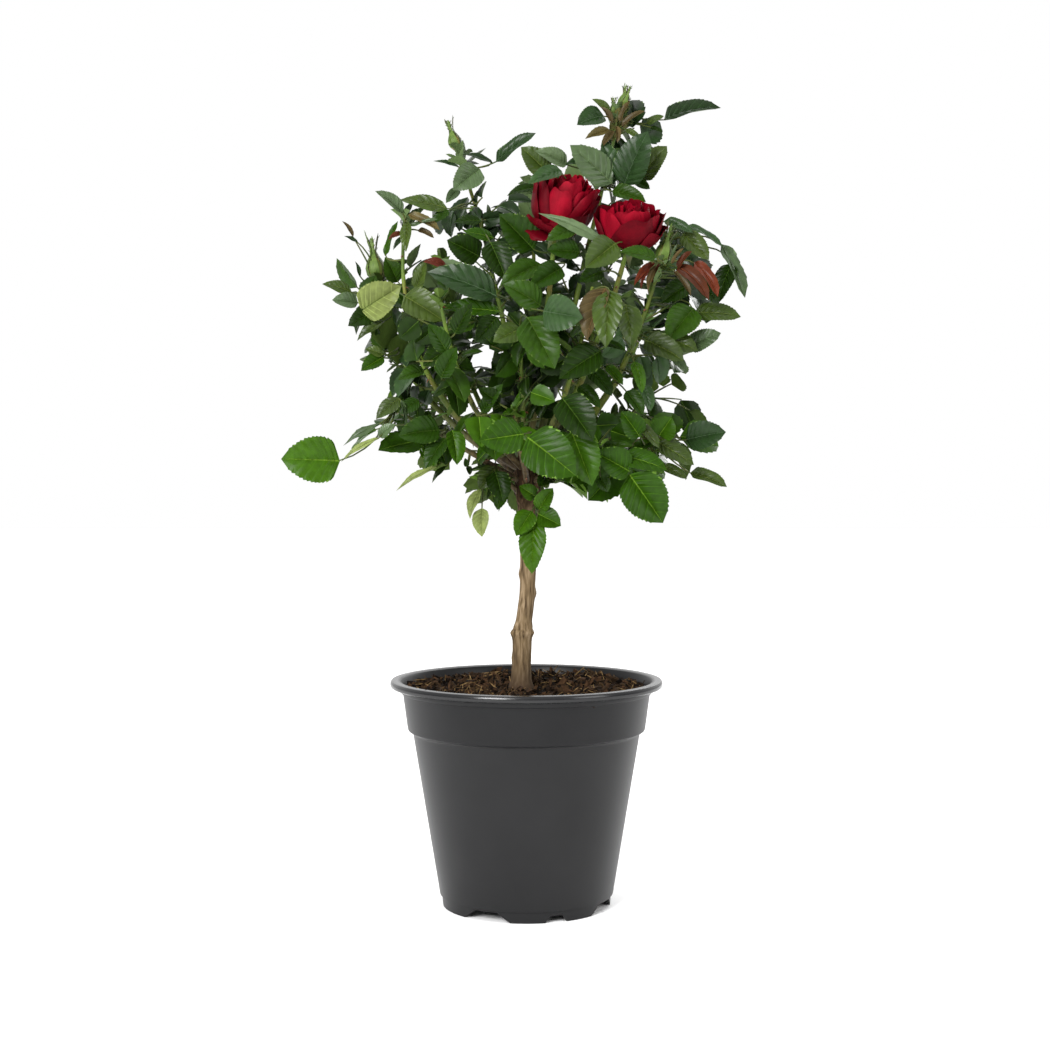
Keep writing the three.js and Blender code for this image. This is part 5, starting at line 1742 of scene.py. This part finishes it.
def add_petal(heap, flower, bearing, half, belly, lip_radius, tall, tilt, ruffle, roll, finish, droop=0.24):
    """One petal at a bearing round the flower's axis, in degrees."""
    u, v = np.meshgrid(np.linspace(-1, 1, PETAL_COLUMNS), np.linspace(0, 1, PETAL_ROWS))
    reach = v * (1 - droop * np.abs(u) ** 3 - 0.28 * droop * np.exp(-(u / 0.34) ** 2))
    steps = [(1 - reach) ** 3, 3 * reach * (1 - reach) ** 2, 3 * reach ** 2 * (1 - reach), reach ** 3]
    line = np.array([(3, 1), (belly * 0.9, -2.5), (belly * 1.16, tall * 0.55), (lip_radius, tall)])
    line = line * petal_dice.uniform(0.97, 1.03, (4, 2))
    radius, height = (sum(step * point[i] for step, point in zip(steps, line)) for i in (0, 1))
    lip = np.clip((reach - 0.72) / 0.28, 0, 1) ** 2
    rolled = roll * petal_dice.uniform(0.7, 1.4) * lip * (1 - 0.5 * u ** 2)
    rolled = rolled * (1 + 0.45 * pleats(u, 4, 7))
    radius = radius * (1 - 0.1 * u ** 2 * v) + rolled
    radius = radius + ruffle * 0.5 * np.sin(3.3 * u + petal_dice.uniform(0, 6)) * v ** 2
    radius = radius + 0.45 * pleats(u, 6, 10) * v ** 2
    radius = radius + 0.2 * pleats(u, 13, 19) * v ** 3
    height = height - 0.6 * rolled + tilt * u * v ** 2
    height = height + ruffle * 0.65 * pleats(u, 2, 4) * v ** 3
    height = height + 0.22 * ruffle * pleats(u, 6, 9) * v ** 4
    broad = 0.35 + 0.65 * np.sin(np.clip(v / 0.7, 0, 1) * math.pi / 2)
    broad = broad - 1.1 * droop * np.clip((v - 0.55) / 0.45, 0, 1) ** 2
    angle = math.radians(bearing) + math.radians(half) * petal_dice.uniform(0.94, 1.06) * u * broad
    foot, axis, front, right = flower
    thin = PETAL_THICK / 2

    def sheet(offset):
        out = radius + offset
        return (foot + height[..., None] * axis + (out * np.cos(angle))[..., None] * front
                + (out * np.sin(angle))[..., None] * right)

    heap.add(*closed_sheet(sheet(thin), sheet(-thin)), [finish])


print("points on a petal:", 2 * PETAL_ROWS * PETAL_COLUMNS)

# %% Put the blooms together
HIP_GIRTHS = [1.5, 2.8, 4.0, 4.6, 4.4, 3.2, 1.5]
SEPAL_RISE, SEPAL_OUT = [0, 1.5, 1, -2, -6, -10], [3, 8, 13, 16, 17, 16.5]
HEART_DROOP = 0.27
blooms = Heap()
for cane in canes:
    if cane.end != "bloom":
        continue
    axis = unit(np.array(BLOOM_FACES[cane.name]))
    front = unit(np.array([0, -1, 0]) + axis * axis[1])
    flower = (cane.tip, axis, front, np.cross(axis, front))
    for petal in OUTER_PETALS[cane.name]:
        add_petal(blooms, flower, *petal)
    start = petal_dice.uniform(0, 360)
    lift = HEART_LIFT[cane.name]
    for count, half, belly, lip_radius, tall, *petal in HEART_RINGS:
        start += GOLDEN
        for number in range(count):
            bearing = start + 360 * (number + petal_dice.normal(0, 0.1)) / count
            height = tall + lift + petal_dice.normal(0, 0.6)
            add_petal(blooms, flower, bearing, half, belly, lip_radius, height, *petal, HEART_DROOP)
    hip = cane.tip + np.outer(np.linspace(-5, 2.5, 7), axis)
    sepals_and_buds.add(*tube(hip, HIP_GIRTHS, 12), [SEPAL])
    for number in range(SEPALS):
        out = about(front, axis, math.tau * number / SEPALS)
        line = cane.tip + np.outer(SEPAL_RISE, axis) + np.outer(SEPAL_OUT, out)
        sepals_and_buds.add(*tube(line, [2.2, 3.0, 2.6, 1.9, 1.1, 0.15], 6, 0.2, axis), [DUSKY])
blooms = blooms.make("blooms_petals", 50)
select_only(blooms)
bpy.ops.object.mode_set(mode="EDIT")
end_shaping()

# %% [markdown]
# Petals are velvet: deep crimson that is almost black in the folds. Velvet hardly shines, so the shader's
# specular level is set low. The outer petals are darker than the heart, as painted shade for the dark gaps
# between the petals.

# %% Petal, bud and shoot finishes
VELVET = {"Roughness": 0.55, "Specular_IOR_Level": 0.06}
finished(
    blooms, "bloom", ["bloom_left", "bloom_right"],
    # the darkest finish is painted shade for the gaps between the petals
    drifting("petal_outer", ("#44010a", "#56020e"), 9, 0.15, **VELVET),
    drifting("petal_middle", ("#56020e", "#680314"), 9, 0.15, **VELVET),
    drifting("petal_heart", ("#6c0415", "#80061b"), 9, 0.15, **VELVET),
)
buds = sepals_and_buds.make("buds_sepals", 50)
finished(
    buds, "leaf", [],
    drifting("bud_flesh", ("#5c6a2c", "#7a6a3c"), 5, 0.15, **SHINY),
    drifting("sepal_green", ("#42581e", "#556a2a"), 4, 0.15, **WAXY),
    drifting("sepal_dusky", ("#2e3f1e", "#4a4a28"), 4, 0.15, **WAXY),
)
shoots = shoots.make("shoots_stalks", 60)
finished(
    shoots, "cane", [],
    cane_bark, prickle_red,
    drifting("stalk_green", ("#2e4018", "#4a4e22"), 12, 0.1, Roughness=0.5, Specular_IOR_Level=0.2),
    drifting("stalk_wing", ("#34501a", "#46602a"), 6, 0.1, Roughness=0.55, Specular_IOR_Level=0.2),
    cane_young,
)

# %% Join the leaves, each shade apart
foliage = [name for name in nodes if name.startswith("foliage_")]
for shade, heap in heaps.items():
    piece = heap.make(f"leaves_{shade}", 55)
    mine = {"foliage_" + cane.name for cane in canes if cane.shade == shade}
    finished(piece, "leaf", sorted(mine & set(foliage)), *leaf_finishes(shade))
print("all foliage stands in:", len(foliage))
